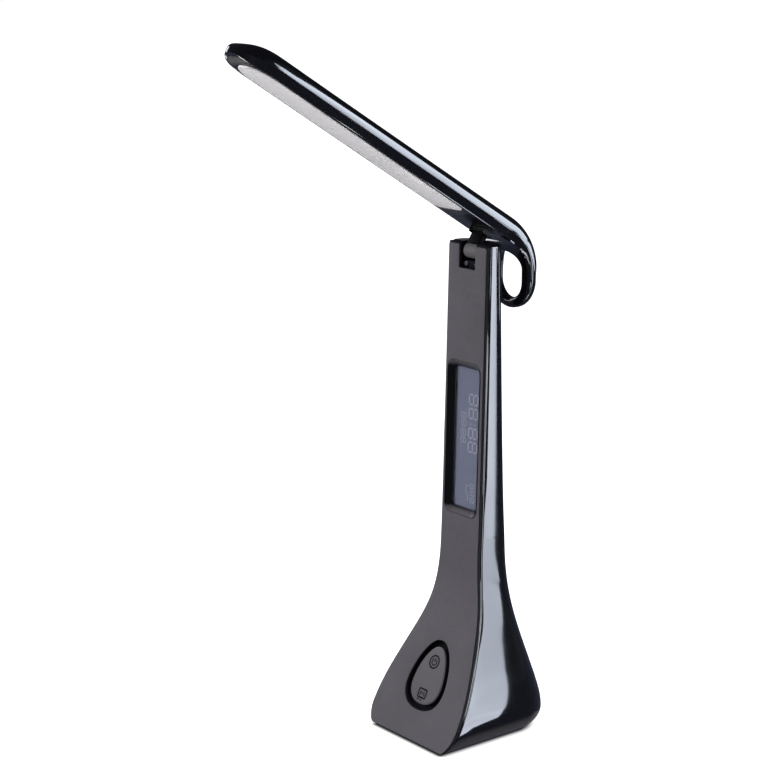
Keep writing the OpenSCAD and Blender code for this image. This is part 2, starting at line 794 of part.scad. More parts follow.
bend_y = 3.6;                       // the bend starts this far behind the pin
bend_z = under - bend_r;            // height of the bend's centre
bend_angle = 90 - head_tilt;        // the ring hangs straight down when the head is open
thick = head_t + 0.7;               // the slab is this much thicker at the bend than at the nose
ring_half = head_w / 2 + 1.8;       // the ring is wider than the head
ring_out = bend_r + thick - 2.75;   // outer radius where the ring begins
ring_in = ring_out - ring_t;
ring_power = 3.5;                   // the ring's section is the same above and below
// Section of the bend, f of the way from slab to ring
function bar_ring(w, inner, outer, f) = head_ring(w, inner, outer,
    slab_share + (0.5 - slab_share) * f,
    slab_upper + (ring_power - slab_upper) * f,
    slab_lower + (ring_power - slab_lower) * f);
// A place in the bend: x across, r from its centre, d past its end, after a degrees of it
function in_bend(x, r, d, a) = [x, bend_y + r * sin(a) + d * cos(a), bend_z + r * cos(a) - d * sin(a)];

bend_steps = 12;
thin_power = 2.5;                   // above 1, the bend thins towards its end
slab_tops = [[8, 0.66], [60, 0.4], [110, 0.1]]; // places along the slab, and how much thicker it is there
function head_rings() = concat(
    // the round end of the ring, and its straight sides
    [for (i = [bend_steps:-1:0]) let(t = min(88, i * 90 / bend_steps),
            d = ring_drop - ring_half + ring_half * sin(t))
        [for (p = bar_ring(ring_half * cos(t), ring_in, ring_out, 1)) in_bend(p[0], p[1], d, bend_angle)]],
    // the bend
    [for (i = [bend_steps:-1:0]) let(u = i / bend_steps, f = ease(u), w = head_w / 2,
            inner = bend_r + f * (ring_in - bend_r),
            outer = bend_r + thick + pow(u, thin_power) * (ring_out - bend_r - thick))
        [for (p = bar_ring(w + f * (ring_half - w), inner, outer, f))
            in_bend(p[0], p[1], 0, bend_angle * u)]],
    // the slab
    [for (place = slab_tops)
        [for (p = slab_ring(head_w / 2, under, head_top + place[1])) [p[0], -place[0], p[1]]]],
    // the nose
    [for (i = [9:-1:0]) let(s = head_l - 0.3 - (side_l - 0.3) * (1 - cos(i * 10)))
        [for (p = slab_ring(nose_w(s), nose_under(s), nose_top(s))) [p[0], -s, p[1]]]]
);

// Plan outline of the head's underside, drawn in by o, from the nose to y1
module head_plan(o, y1) {
    side = [for (i = [1:10]) let(s = head_l - side_l * (1 - cos(i * 9)))
        [max(0.4 + i * 0.1, nose_w(s) - o), o - s]];
    polygon(concat([[0, o - head_l]], side, [[head_w / 2 - o, y1], [o - head_w / 2, y1]],
        [for (i = [9:-1:0]) [-side[i][0], side[i][1]]]));
}

frame_end = 1.5;                    // rear edge of the underside plate
pocket_w = 13.2;                    // half the width of the room for the light
board_pocket_w = 10.2;              // and of the room for the LED board
led_z = head_top - 3.4;             // face of the LED board

// The hole of the ring, its edges rounded by r
hole_w = 2 * ring_half - 2 * ring_bar;
hole_mid = ring_drop - ring_end - ring_hole_h / 2;
hole_round = 2.6;                   // the hole's edges open out by this much
hole_steps = 8;
module ring_hole() {
    r = ring_t / 2;
    h = ring_hole_h / 2 - hole_w / 2;
    translate([0, bend_y, bend_z]) rotate([-bend_angle, 0, 0])
        loft([for (i = [-1:hole_steps + 1]) let(
                outside = i < 0 || i > hole_steps, a = i * 180 / hole_steps,
                z = ring_in + r - r * cos(a) + (outside ? 3 * sign(i) : 0),
                w = hole_w / 2 + (outside ? hole_round + 0.6 : hole_round * (1 - sin(a))))
            concat([for (k = [0:15:180]) [w * cos(k), hole_mid + h + w * sin(k), z]],
                [for (k = [0:15:180]) [-w * cos(k), hole_mid - h - w * sin(k), z]])]);
}

module head_shell() {
    color("#0c0c0f")
    on_head()
        difference() {
            union() {
                difference() {
                    loft(head_rings());
                    // seat for the underside plate
                    translate([0, 0, under - 5]) linear_extrude(5 + frame_t)
                        head_plan(-1, frame_end + clear);
                    // room for the light, and above it for the LED board
                    translate([0, 0, under - 1]) linear_extrude(head_t * 0.5 + 1)
                        head_plan(head_w / 2 - pocket_w, frame_end + 1);
                    translate([0, 0, under - 2]) linear_extrude(head_t - 0.2)
                        head_plan(head_w / 2 - board_pocket_w, -8);
                }
                for (p = arm_screw, s = [-1, 1])
                    translate([s * p[0], p[1], foot_z + foot_h + touch])
                        cylinder(d = 2 * screw_d, h = 5);
            }
            for (p = arm_screw, s = [-1, 1])
                translate([s * p[0], p[1], foot_z]) cylinder(d = screw_d, h = 5.2);
            ring_hole();
        }
}

// Outline of the diffuser, drawn out by o: a round-cornered strip with an elliptical tip
diffuser_r = 4.5;                   // corners of its near end
diffuser_nose = 13;                 // length of its tip
module diffuser_plan(o) {
    w = diffuser_w / 2 + o;
    tip = -head_l + diffuser_tip;
    hull() {
        for (s = [-1, 1]) {
            translate([s * (w - diffuser_r), -diffuser_start - diffuser_r + o])
                circle(r = diffuser_r, $fn = 32);
            translate([s * (w - 4), tip + diffuser_nose + 3]) circle(r = 4, $fn = 32);
        }
        translate([0, tip + diffuser_nose - o]) resize([2 * w - 0.4, 2 * diffuser_nose])
            circle(r = diffuser_w / 2, $fn = 64);
    }
}

clip_t = 1.2;
clip_pitch = 28;
module head_frame() {
    color("#121215")
    on_head()
        difference() {
            union() {
                translate([0, 0, under]) linear_extrude(frame_t) head_plan(0.4, frame_end);
                // clips that hold the plate between the sides of the shell
                for (i = [0:5], s = [-1, 1])
                    translate([s > 0 ? pocket_w - clip_t - clear : clear - pocket_w,
                            -12 - clip_pitch * i, under + frame_t - eps])
                        cube([clip_t, 6, 3 + 2 * eps]);
                // lug that the arm comes out of
                translate([-arm_w / 2 - 0.9, arm_y[0] - 1, lug_under])
                    cube([arm_w + 1.8, arm_t + 1.6, under - lug_under + eps]);
            }
            translate([0, 0, under - 1]) linear_extrude(5) diffuser_plan(clear);
            translate([-arm_w / 2 - touch, arm_y[0] - touch, lug_under - 1])
                cube([arm_w + 2 * touch, arm_t + 2 * touch, reach]);
            nose_cut(-reach);
        }
}

module diffuser() {
    color("#e9e7e4")
    on_head()
        union() {
            translate([0, 0, under - diffuser_proud])
                linear_extrude(diffuser_proud + frame_t + 2 * eps) diffuser_plan(0);
            // the flange that rests on the plate
            translate([0, 0, under + frame_t + touch]) linear_extrude(1) diffuser_plan(0.5);
        }
}

tray_z = under + frame_t + 1 + 2 * touch;
module reflector() {
    color("#f4f4f2")
    on_head()
        difference() {
            translate([0, 0, tray_z]) linear_extrude(led_z - tray_z - touch) diffuser_plan(-1.6);
            translate([0, 0, tray_z - 1]) linear_extrude(led_z - tray_z + 2) diffuser_plan(-2.4);
        }
}

led_count = 12;
led_first = diffuser_start + 8;
led_last = head_l - diffuser_tip - 14;
led_pitch = (led_last - led_first) / (led_count - 1);
led_size = [2.8, 3.5, 0.7];
led_x = 4.2;                        // the two rows stand this far from the middle
led_board_w = 18.4;

module led_board() {
    color("#dfe3e0")
    on_head()
        translate([-led_board_w / 2, -led_last - 4, led_z])
            cube([led_board_w, led_last - led_first + 8, 1]);
}

module leds() {
    color("#f3e08a")
    on_head()
        for (i = [0:led_count - 1], s = [-1, 1])
            translate([s * led_x - led_size[0] / 2, -led_first - i * led_pitch - led_size[1] / 2,
                    led_z - led_size[2] - touch])
                cube(led_size);
}

rear_shell();
front_cover();
front_skin();
base_plate();
base_screws();
rubber_feet();
counterweight();
battery_pad();
battery();
main_board();
board_parts();
buzzer();
charge_socket();
board_screws();
rocker_key();
key_board();
key_switches();
key_screws();
lcd_bezel();
lcd_window();
lcd_glass();
lcd_board();
lcd_screws();
clock_switches();
clock_key_1();
clock_key_2();
clock_key_3();
hinge_bracket();
bracket_screws();
hinge_pin();
hinge_nut();
friction_washers();
hinge_barrel();
hinge_arm();
arm_screws();
head_shell();
head_frame();
diffuser();
reflector();
led_board();
leds();
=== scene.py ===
from math import acos, atan, copysign, cos, hypot, pi, radians, sin, sqrt

import bmesh
import bpy
from mathutils import Matrix, Vector


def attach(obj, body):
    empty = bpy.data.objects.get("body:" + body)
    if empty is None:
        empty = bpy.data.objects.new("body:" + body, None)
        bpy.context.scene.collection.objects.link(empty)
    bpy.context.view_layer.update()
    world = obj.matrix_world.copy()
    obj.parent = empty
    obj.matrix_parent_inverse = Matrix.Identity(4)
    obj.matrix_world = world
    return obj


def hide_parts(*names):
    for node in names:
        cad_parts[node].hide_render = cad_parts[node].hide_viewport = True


# A folding desk lamp: a flared stand with a display and a rocker key, and a light head that
# folds down over it. Sizes are in millimetres until a mesh is finished, when it is scaled to
# metres, which is what the frame is in.
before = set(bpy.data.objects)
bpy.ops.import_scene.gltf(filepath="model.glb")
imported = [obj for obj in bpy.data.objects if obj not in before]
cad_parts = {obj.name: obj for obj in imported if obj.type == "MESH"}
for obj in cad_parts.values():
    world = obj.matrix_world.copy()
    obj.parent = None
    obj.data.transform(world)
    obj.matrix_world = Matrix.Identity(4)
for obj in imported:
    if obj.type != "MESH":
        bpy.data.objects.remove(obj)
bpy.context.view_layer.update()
mm = 0.001
scene = bpy.context.scene
scene.view_settings.view_transform = "Standard"

# ---- Camera ----
# A long lens at the height of the display, looking down a little on the lamp's front and
# right side.
camera_data = bpy.data.cameras.new("camera")
camera_data.lens = 95.3
camera_data.sensor_width = 36
camera = bpy.data.objects.new("camera", camera_data)
camera.location = (0.782, -0.6705, 0.427)
camera_yaw = radians(51.71)
camera_fall = radians(13.08)
camera.rotation_euler = (pi / 2 - camera_fall, 0, camera_yaw)
scene.collection.objects.link(camera)
scene.camera = camera


# ---- Studio ----
# A white floor that fades away behind the lamp, one broad lamp at the left and one overhead
# for the matt front, and glowing cards round the lamp that only gloss can see. They draw the
# long streaks on the housing and the head.
class Wire:
    """An output in a node tree. Sums on it add Math nodes, and node() adds any other node: its
    settings, and what goes into its sockets."""

    def __init__(self, tree, socket=None):
        self.tree = tree
        self.socket = socket

    def node(self, kind, settings, sockets, output=0):
        made = self.tree.nodes.new(kind)
        for name, value in settings.items():
            setattr(made, name, value)
        for name, value in sockets.items():
            if isinstance(value, Wire):
                self.tree.links.new(value.socket, made.inputs[name])
            else:
                made.inputs[name].default_value = value
        return Wire(self.tree, made.outputs[output] if made.outputs else None)

    def axis(self, name):
        return self.node("ShaderNodeSeparateXYZ", {}, {0: self}, name)

    def noise(self, scale, detail, output=0):
        return self.node("ShaderNodeTexNoise", {}, {
            "Vector": self, "Scale": scale, "Detail": detail}, output)

    def ranged(self, low, high, to_low=0.0, to_high=1.0, kind="LINEAR"):
        """Takes low to to_low and high to to_high, and what is beyond them no further."""
        return self.node("ShaderNodeMapRange", {"interpolation_type": kind}, {
            "Value": self, "From Min": low, "From Max": high, "To Min": to_low, "To Max": to_high})

    def mixed(self, first, second):
        """A colour between two, with this share of the second."""
        return self.node("ShaderNodeMix", {"data_type": "RGBA"}, {
            "Factor": self, "A": (*first, 1), "B": (*second, 1)}, "Result")

    def math(self, operation, *values):
        return self.node("ShaderNodeMath", {"operation": operation}, dict(enumerate(values)))

    def __add__(self, other):
        return self.math("ADD", self, other)

    def __sub__(self, other):
        return self.math("SUBTRACT", self, other)

    def __rsub__(self, other):
        return self.math("SUBTRACT", other, self)

    def __mul__(self, other):
        return self.math("MULTIPLY", self, other)

    __radd__ = __add__
    __rmul__ = __mul__


def blank(owner):
    """The empty node tree of a new material or of the world."""
    owner.use_nodes = True
    owner.node_tree.nodes.clear()
    return Wire(owner.node_tree)


def started(name):
    """A new material, its empty node tree, and the object's own coordinates in it."""
    finish = bpy.data.materials.new(name)
    tree = blank(finish)
    return finish, tree, tree.node("ShaderNodeTexCoord", {}, {}, "Object")


def ray(tree, kind):
    """1 for rays of a kind, and 0 for the others."""
    return tree.node("ShaderNodeLightPath", {}, {}, f"Is {kind} Ray")


sky = scene.world or bpy.data.worlds.new("sky")
scene.world = sky
tree = blank(sky)
camera_ray = ray(tree, "Camera")
glossy_ray = ray(tree, "Glossy")
height = tree.node("ShaderNodeTexCoord", {}, {}, "Generated").axis("Z")
sky_on_matt = 0.42
sky_in_gloss = height.ranged(0.05, 0.35, 0.2, 0.03)
seen_white = camera_ray.math("MAXIMUM", camera_ray, ray(tree, "Transmission"))
strength = seen_white + (1 - seen_white) * (glossy_ray * sky_in_gloss + (1 - glossy_ray) * sky_on_matt)
tint = glossy_ray.mixed((1, 1, 1), (0.75, 0.83, 1))
background = tree.node("ShaderNodeBackground", {}, {"Color": tint, "Strength": strength})
tree.node("ShaderNodeOutputWorld", {}, {"Surface": background})

floor_mesh = bmesh.new()
bmesh.ops.create_circle(floor_mesh, cap_ends=True, segments=96, radius=9)
floor_data = bpy.data.meshes.new("floor")
floor_mesh.to_mesh(floor_data)
floor_mesh.free()
floor = bpy.data.objects.new("floor", floor_data)
scene.collection.objects.link(floor)
paint, tree, place = started("white_floor")
across = place.axis("X")
along = place.axis("Y")


def outside(shift, half_sides, corner):
    """How far a place on the floor is outside a rectangle with round corners."""
    sides = [side.math("MAXIMUM", side.math("ABSOLUTE", side + move) - half + corner, 0.0)
             for side, move, half in zip((across, along), shift, half_sides)]
    return place.math("SQRT", sides[0] * sides[0] + sides[1] * sides[1]) - corner


# 1 round the foot of the base, and 0 a little further out
near = outside((0, 0), (0.0335, 0.0395), 0.0).ranged(0.003, 0.014, 1.0, 0.0, "SMOOTHSTEP")
# painted shadow: the floor's colour and glow are dark under the base, whose corners are wider at the back
# than in front
corner = along.ranged(-0.02, 0.02, 0.002, 0.018)
under = outside((0, 0.0025), (0.0285, 0.0365), corner)
outside_painted_shadow = under.ranged(-0.002, 0.003, kind="SMOOTHSTEP")
camera_ray = ray(tree, "Camera")
glossy_ray = ray(tree, "Glossy")
white = outside_painted_shadow.mixed((0.02, 0.02, 0.02), (0.8, 0.8, 0.8))
matt = tree.node("ShaderNodeBsdfDiffuse", {}, {"Color": white})
glow = tree.node("ShaderNodeEmission", {}, {
    "Color": glossy_ray.mixed((1, 1, 1), (1, 0.89, 1.08)),
    "Strength": outside_painted_shadow * (camera_ray * 0.9 + glossy_ray * near * 0.16)})
both = tree.node("ShaderNodeAddShader", {}, {0: matt, 1: glow})
# gloss sees the floor dark, but for the part round the foot
dark = tree.node("ShaderNodeEmission", {}, {"Color": (0.60, 0.68, 1, 1), "Strength": 0.16})
far_gloss = glossy_ray * (1 - near * 0.6)
shown = tree.node("ShaderNodeMixShader", {}, {0: far_gloss, 1: both, 2: dark})
tree.node("ShaderNodeOutputMaterial", {}, {"Surface": shown})
floor_data.materials.append(paint)


def aim(obj, place, target):
    """Stands a lamp or card at a place and turns its face to a target."""
    obj.location = place
    obj.rotation_euler = (Vector(target) - Vector(place)).to_track_quat("-Z", "Y").to_euler()
    scene.collection.objects.link(obj)


def lamp(name, place, target, size, watts):
    """A broad lamp that gloss can't see."""
    data = bpy.data.lights.new(name, "AREA")
    data.shape = "RECTANGLE"
    data.size = size[0]
    data.size_y = size[1]
    data.energy = watts
    obj = bpy.data.objects.new(name, data)
    obj.visible_glossy = False
    aim(obj, place, target)


def card(name, rungs, strength, tint):
    """A glowing strip over rungs, each given by its two ends. Only gloss can see it. Soft
    clouds in its glow keep the reflections from looking flat."""
    shape = bmesh.new()
    ends = [[shape.verts.new(end) for end in rung] for rung in rungs]
    for this, following in zip(ends, ends[1:]):
        shape.faces.new((this[0], this[1], following[1], following[0]))
    data = bpy.data.meshes.new(name)
    shape.to_mesh(data)
    shape.free()
    glow, tree, place = started(name)
    cloud = place.noise(14, 2)
    rise = place.axis("Z").ranged(0.08, 0.24, 1.0, 1.3)
    light = tree.node("ShaderNodeEmission", {}, {
        "Color": (*tint, 1), "Strength": (cloud * 0.9 + 0.55) * rise * strength})
    tree.node("ShaderNodeOutputMaterial", {}, {"Surface": light})
    data.materials.append(glow)
    obj = bpy.data.objects.new(name, data)
    scene.collection.objects.link(obj)
    obj.visible_camera = False
    obj.visible_diffuse = False
    obj.visible_transmission = False
    obj.visible_shadow = False


# the line of sight, mirrored in the stem's right side at about its middle
mirror_x, mirror_y = 0.015, 0.006
sight_x, sight_y = 0.785, 0.62


def at_right(across, away, z):
    """A place at the lamp's right rear, given across and away along the mirrored line of sight."""
    return (mirror_x + sight_x * away - sight_y * across, mirror_y + sight_y * away + sight_x * across, z)


def upright(away, *rungs):
    """Rungs (left, right, z) of a card that stands at the right rear."""
    return [(at_right(left, away, z), at_right(right, away, z)) for left, right, z in rungs]


lamp("left_lamp", (-0.9, -1.1, 0.7), (0, 0, 0.12), (0.9, 1.1), 17)
lamp("top_lamp", (0.15, -0.35, 1.3), (0, -0.02, 0.1), (0.8, 0.8), 7)
cool = (0.80, 0.87, 1.0)
# the broad band on the housing's right side, whose dark rear edge follows the flare
card("right_card", [
    (at_right(-0.045, 0.012, 0.001), at_right(-0.0177, 0.050, 0.001)),
    (at_right(-0.050, 0.050, 0.001), at_right(-0.0160, 0.060, 0.001)),
    (at_right(-0.060, 0.082, 0.001), at_right(-0.0145, 0.082, 0.001)),
    *upright(0.1, (-0.06, -0.0133, 0.001), (-0.06, -0.0123, 0.016), (-0.06, -0.0106, 0.032),
             (-0.06, -0.0088, 0.047), (-0.055, -0.006, 0.058), (-0.05, -0.0035, 0.066),
             (-0.045, -0.001, 0.070), (-0.04, 0.002, 0.072), (-0.03, 0.0055, 0.074),
             (-0.02, 0.0077, 0.077), (-0.002, 0.0078, 0.110), (-0.002, 0.0078, 0.250))], 12.5, cool)
# the streak along the head and round its ring
card("head_card", [(at_right(side, 0.33, low), at_right(side, 0.33, high)) for side, low, high in (
    (-0.270, 0.420, 0.424), (-0.190, 0.362, 0.378), (-0.107, 0.314, 0.340), (-0.055, 0.278, 0.366),
    (-0.005, 0.244, 0.370), (0.030, 0.220, 0.350), (0.075, 0.196, 0.290))], 12.5, cool)
# the stretch of the band where the base turns into the stem
card("waist_card", upright(0.06, (-0.02, 0.0056, 0.0766), (-0.02, 0.0048, 0.0790),
                           (-0.02, 0.0056, 0.0880)), 11, cool)
# the thin line along the housing's lip
for name, rungs in {
        "lip_card_high": ((0.008, 0.200, 0.240), (-0.004, 0.208, 0.240)),
        "lip_card": ((-0.012, 0.030, 0.165), (-0.028, 0.030, 0.175), (-0.030, 0.135, 0.176),
                     (-0.042, 0.140, 0.183)),
        "lip_card_low": ((-0.068, 0.080, 0.180), (-0.098, 0.080, 0.180))}.items():
    card(name, [((0.2, y, low), (0.2, y, high)) for y, low, high in rungs], 13, (0.90, 0.95, 1.0))
# glints: on the ring's side, the nose's end and the arm, the plate at the nose, the bend's
# underside behind the arm, and the ring's foot
card("rear_card", [((0.120, 0.300, 0.165), (0.120, 0.300, 0.210)),
                   ((0.085, 0.315, 0.165), (0.085, 0.315, 0.210))], 4, (0.93, 0.97, 1.0))
card("left_card", [((-0.8, 0.03, 0.32), (-0.8, 0.03, 0.74)), ((-0.8, -0.20, 0.32), (-0.8, -0.20, 0.74))],
     3.5, (0.96, 0.98, 1.0))
card("nose_card", [((-0.52, 0.01, 0.001), (-0.58, 0.01, 0.001)),
                   ((-0.52, -0.08, 0.001), (-0.58, -0.08, 0.001))], 4, (1.0, 0.96, 0.97))
card("gap_card", [((-0.298, 0.088, 0.001), (-0.298, 0.110, 0.001)),
                  ((-0.325, 0.088, 0.001), (-0.325, 0.110, 0.001))], 5, (1.0, 0.95, 1.0))
card("ring_card", [((-0.33, -0.35, 0.265), (-0.33, -0.35, 0.36)),
                   ((-0.44, -0.24, 0.265), (-0.44, -0.24, 0.36))], 3.5, (1.0, 0.95, 0.98))


# ---- Housing ----
# One gloss black moulding, polished in the mould: the sides, the back and the top of the
# stand, open at the front for the cover and below for the base plate. A small round lip runs
# along its front edges.
stand_h = 262.0
stem_w = 29.8
stem_d = 12.6
base_w = 67.0
base_d = 79.0
flare_z = 104.0
wide_z = 13.0
wall = 1.8
tuck_r = 12.0
foot_t = 1.2
flat_z = foot_t + tuck_r - 2
top_r = 1.5
stem_front = 1.3
stem_rear = stem_front + stem_d - 0.4
front_depth = 2.45
lip_x = 0.8
lip_y = 1.5
notch_w = 12.6
slot_back = 12.2
clock_key_z = (143.5, 158.5, 173.5)
clock_key_d = 5.0
socket_z = 27.25
socket_w = 9.6
socket_h = 3.8
socket_r = 1.5
toe_slope = 0.54        # how far the front of the base runs back per millimetre of height
face_taper = 0.022      # the same for the stem, front and back
heel_slope = 0.33       # and for the back of the base, which runs forward
heel_over = 4.0
front_blend = 3.6
rear_blend = 4.7
flare_power = 1.25
side_taper = 0.002
stem_corner = 5.5
base_corner = 21.5
corner_z = 110
corner_run = 95
tuck_corner = 0.3
lip_power = 1.5
reach = 20              # the length of what cuts through a wall


def smooth_min(a, b, soft):
    return (a + b) / 2 - hypot((a - b) / 2, soft)


def smooth_max(a, b, soft):
    return (a + b) / 2 + hypot((a - b) / 2, soft)


def ease(share):
    share = min(1, max(0, share))
    return share * share * (3 - 2 * share)


def front_y(z):
    """The front face: the slope of the base, then the stem, which leans back a little."""
    return smooth_min(toe_slope * z - base_d / 2, stem_front - face_taper * (stand_h - z), front_blend)


def tuck(z):
    """How far the outline is drawn in near the table and at the top edge."""
    if z < flat_z:
        return tuck_r - sqrt(tuck_r ** 2 - (flat_z - z) ** 2)
    if z > stand_h - top_r:
        return top_r - sqrt(max(0, top_r ** 2 - (z - stand_h + top_r) ** 2))
    return 0


def rear_y(z):
    heel = base_d / 2 + heel_over - heel_slope * z
    stem = stem_rear + face_taper * (stand_h - z)
    return smooth_min(smooth_max(heel, stem, rear_blend), base_d / 2, 1) - tuck(z)


def half_w(z):
    flare = ease((max(0, flare_z - z) / (flare_z - wide_z)) ** flare_power)
    return stem_w / 2 + side_taper * (stand_h - z) - tuck(z) + (base_w - stem_w) / 2 * flare


def corner_r(z):
    wider = (base_corner - stem_corner) * ease((corner_z - z) / corner_run)
    return stem_corner + wider - tuck(z) * tuck_corner


def blend(a, b, share):
    return a + (b - a) * share


def mirrored(half):
    """A path across the middle, from its right half."""
    return half + [(-x, y) for x, y in reversed(half[:-1])]


def housing_path(z, inset):
    """Round the housing at a height, from its right front edge over the back to its left."""
    w = half_w(z) - inset
    back = rear_y(z) - inset
    front = front_y(z) + front_depth
    r = max(1, corner_r(z) - inset)
    inner = half_w(z) - wall
    lip = []
    for k in range(13):
        turn = pi / 2 * k / 12
        if inset:
            lip.append((inner, front + lip_y * k / 12))
        else:
            lip.append((w - lip_x + lip_x * sin(turn) ** lip_power,
                        front + lip_y - lip_y * cos(turn) ** lip_power))
    side = [(w, blend(front + lip_y, back - r, k / 6)) for k in range(1, 6)]
    corner = [(w - r + r * cos(pi / 2 * k / 16), back - r + r * sin(pi / 2 * k / 16)) for k in range(17)]
    rear = [((w - r) * (1 - k / 5), back) for k in range(1, 6)]
    return mirrored([(inner, front)] + lip + side + corner + rear)


def slot_path(z):
    """Round the slot in the top that the head's arm turns in."""
    count = len(housing_path(z, 0)) // 2
    front = front_y(z) + front_depth
    turn = count * 2 // 3
    side = [(notch_w / 2, blend(front, slot_back, k / turn)) for k in range(turn + 1)]
    rear = [(notch_w / 2 * (1 - k / (count - turn)), slot_back) for k in range(1, count - turn + 1)]
    return mirrored(side + rear)


def drape(bm, rows):
    """Lays a grid over rows of points, all of the same length."""
    across = len(rows[0]) - 1
    along = len(rows) - 1
    made = bmesh.ops.create_grid(bm, x_segments=across, y_segments=along, size=0.5)
    for vert in made["verts"]:
        row = rows[round((vert.co.y + 0.5) * along)]
        vert.co = row[round((vert.co.x + 0.5) * across)]


def close_up(bm):
    """Joins the seams of draped grids and turns every face outwards."""
    bmesh.ops.remove_doubles(bm, verts=bm.verts, dist=0.002)
    bmesh.ops.dissolve_degenerate(bm, edges=bm.edges, dist=0.0005)
    bmesh.ops.recalc_face_normals(bm, faces=bm.faces)


def piece(name, bm, finish, body, stands_for=(), sharp=30):
    """Makes a finished mesh a piece that rides on a body."""
    bmesh.ops.scale(bm, vec=(mm, mm, mm), verts=bm.verts)
    mesh = bpy.data.meshes.new(name)
    bm.to_mesh(mesh)
    bm.free()
    for face in mesh.polygons:
        face.use_smooth = True
    mesh.set_sharp_from_angle(angle=radians(sharp))
    mesh.materials.append(finish)
    obj = bpy.data.objects.new(name, mesh)
    scene.collection.objects.link(obj)
    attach(obj, body)
    if stands_for:
        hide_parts(*stands_for)
    return obj


def cut_away(obj, shapes, sharp=30):
    """Cuts closed shapes, drawn in millimetres, out of a piece."""
    for shape in shapes:
        bmesh.ops.recalc_face_normals(shape, faces=shape.faces)
        bmesh.ops.scale(shape, vec=(mm, mm, mm), verts=shape.verts)
        mesh = bpy.data.meshes.new("cutter")
        shape.to_mesh(mesh)
        shape.free()
        cutter = bpy.data.objects.new("cutter", mesh)
        scene.collection.objects.link(cutter)
        change = obj.modifiers.new("cut", "BOOLEAN")
        change.operation = "DIFFERENCE"
        change.solver = "EXACT"
        change.object = cutter
        looked_at = obj.evaluated_get(bpy.context.evaluated_depsgraph_get())
        obj.data = bpy.data.meshes.new_from_object(looked_at)
        obj.modifiers.clear()
        bpy.data.objects.remove(cutter)
    obj.data.set_sharp_from_angle(angle=radians(sharp))


def gloss(name, colour, roughness, haze):
    """A polished moulding or glass, with fine specks and faint haze where hands have been."""
    finish, tree, place = started(name)
    cloud = place.noise(38, 4)
    speck = place.noise(2600, 2)
    dent = tree.node("ShaderNodeBump", {}, {
        "Strength": 0.12, "Distance": 0.00004, "Height": place.noise(90, 1)})
    shader = tree.node("ShaderNodeBsdfPrincipled", {}, {
        "Base Color": (*colour, 1), "Roughness": cloud * haze + speck * 0.02 + roughness, "IOR": 1.5,
        "Normal": dent})
    tree.node("ShaderNodeOutputMaterial", {}, {"Surface": shader})
    return finish


gloss_black = gloss("gloss_black", (0.004, 0.004, 0.0055), 0.03, 0.05)

# heights of the housing's sections, closer together towards the foot
levels = [foot_t + (stand_h - top_r - foot_t) * (k / 84) ** 1.5 for k in range(85)]
wall_levels = [z for z in levels if z < stand_h - wall - 0.3] + [stand_h - wall]
upper_levels = [stand_h - wall, stand_h - top_r]
upper_levels += [stand_h - top_r + top_r * sin(pi / 2 * k / 6) for k in range(1, 7)]
rows = []
for z in wall_levels:
    rows.append([(x, y, z) for x, y in housing_path(z, wall)])
for z in (stand_h - wall, stand_h):
    rows.append([(x, y, z) for x, y in slot_path(z)])
for z in reversed(wall_levels[:-1] + upper_levels):
    rows.append([(x, y, z) for x, y in housing_path(z, 0)])
rows.append(rows[0])
shell = bmesh.new()
drape(shell, rows)
close_up(shell)
bmesh.ops.holes_fill(shell, edges=[edge for edge in shell.edges if edge.is_boundary], sides=0)
bmesh.ops.recalc_face_normals(shell, faces=shell.faces)
housing = piece("housing", shell, gloss_black, "stand", ["rear_shell"])


def rod(radius, length, place, turn, sides=48):
    """A round bar of a length about a place, turned from upright."""
    bm = bmesh.new()
    bmesh.ops.create_cone(bm, cap_ends=True, segments=sides, radius1=radius, radius2=radius,
                          depth=length, matrix=Matrix.Translation(place) @ turn)
    return bm


to_back = Matrix.Rotation(radians(90), 4, "X")
holes = [rod(clock_key_d / 2 + 0.2, reach, (0, rear_y(z), z), to_back) for z in clock_key_z]
socket_hole = bmesh.new()
bmesh.ops.create_cube(socket_hole, size=1, matrix=Matrix.Translation((0, rear_y(socket_z), socket_z))
                      @ Matrix.Diagonal((socket_w, reach, socket_h, 1)))
ends = [edge for edge in socket_hole.edges if abs(edge.verts[0].co.y - edge.verts[1].co.y) > 1]
bmesh.ops.bevel(socket_hole, geom=ends, offset=socket_r, segments=6, profile=0.5, affect="EDGES",
                material=-1)
cut_away(housing, holes + [socket_hole])


# ---- Front cover and its sheet ----
# A matt black cover closes the housing from the front. A thin sheet with a fine leather grain
# is bonded to it, cut out round the display, the key and the notch for the hinge.
skin_t = 0.6
cover_t = 1.7
notch_h = 13.5
lcd_w = 26.0
lcd_h = 82.0
lcd_z = 158.5
lcd_r = 4.9
key_z = 33.4
key_l = 38.2
key_w = 27.8
egg_lean = 0.27         # how much narrower the key is towards its top
egg_power = 2.25        # above 2, its ends are blunter than an ellipse's
egg_drop = 0.8          # how far it lies below the middle of its place
key_half_z = key_l / 2 * 0.88
key_angle = atan((front_y(key_z + key_half_z) - front_y(key_z - key_half_z)) / (2 * key_half_z))


def arc(cx, cy, r, start, end, steps):
    turns = [radians(blend(start, end, k / steps)) for k in range(steps + 1)]
    return [(cx + r * cos(turn), cy + r * sin(turn)) for turn in turns]


def rounded(w, h, r, cx=0, cy=0, steps=8):
    """Outline of a rectangle with round corners."""
    points = []
    for quarter, (sx, sy) in enumerate([(1, 1), (-1, 1), (-1, -1), (1, -1)]):
        points += arc(cx + sx * (w / 2 - r), cy + sy * (h / 2 - r), r,
                      90 * quarter, 90 * quarter + 90, steps)
    return points


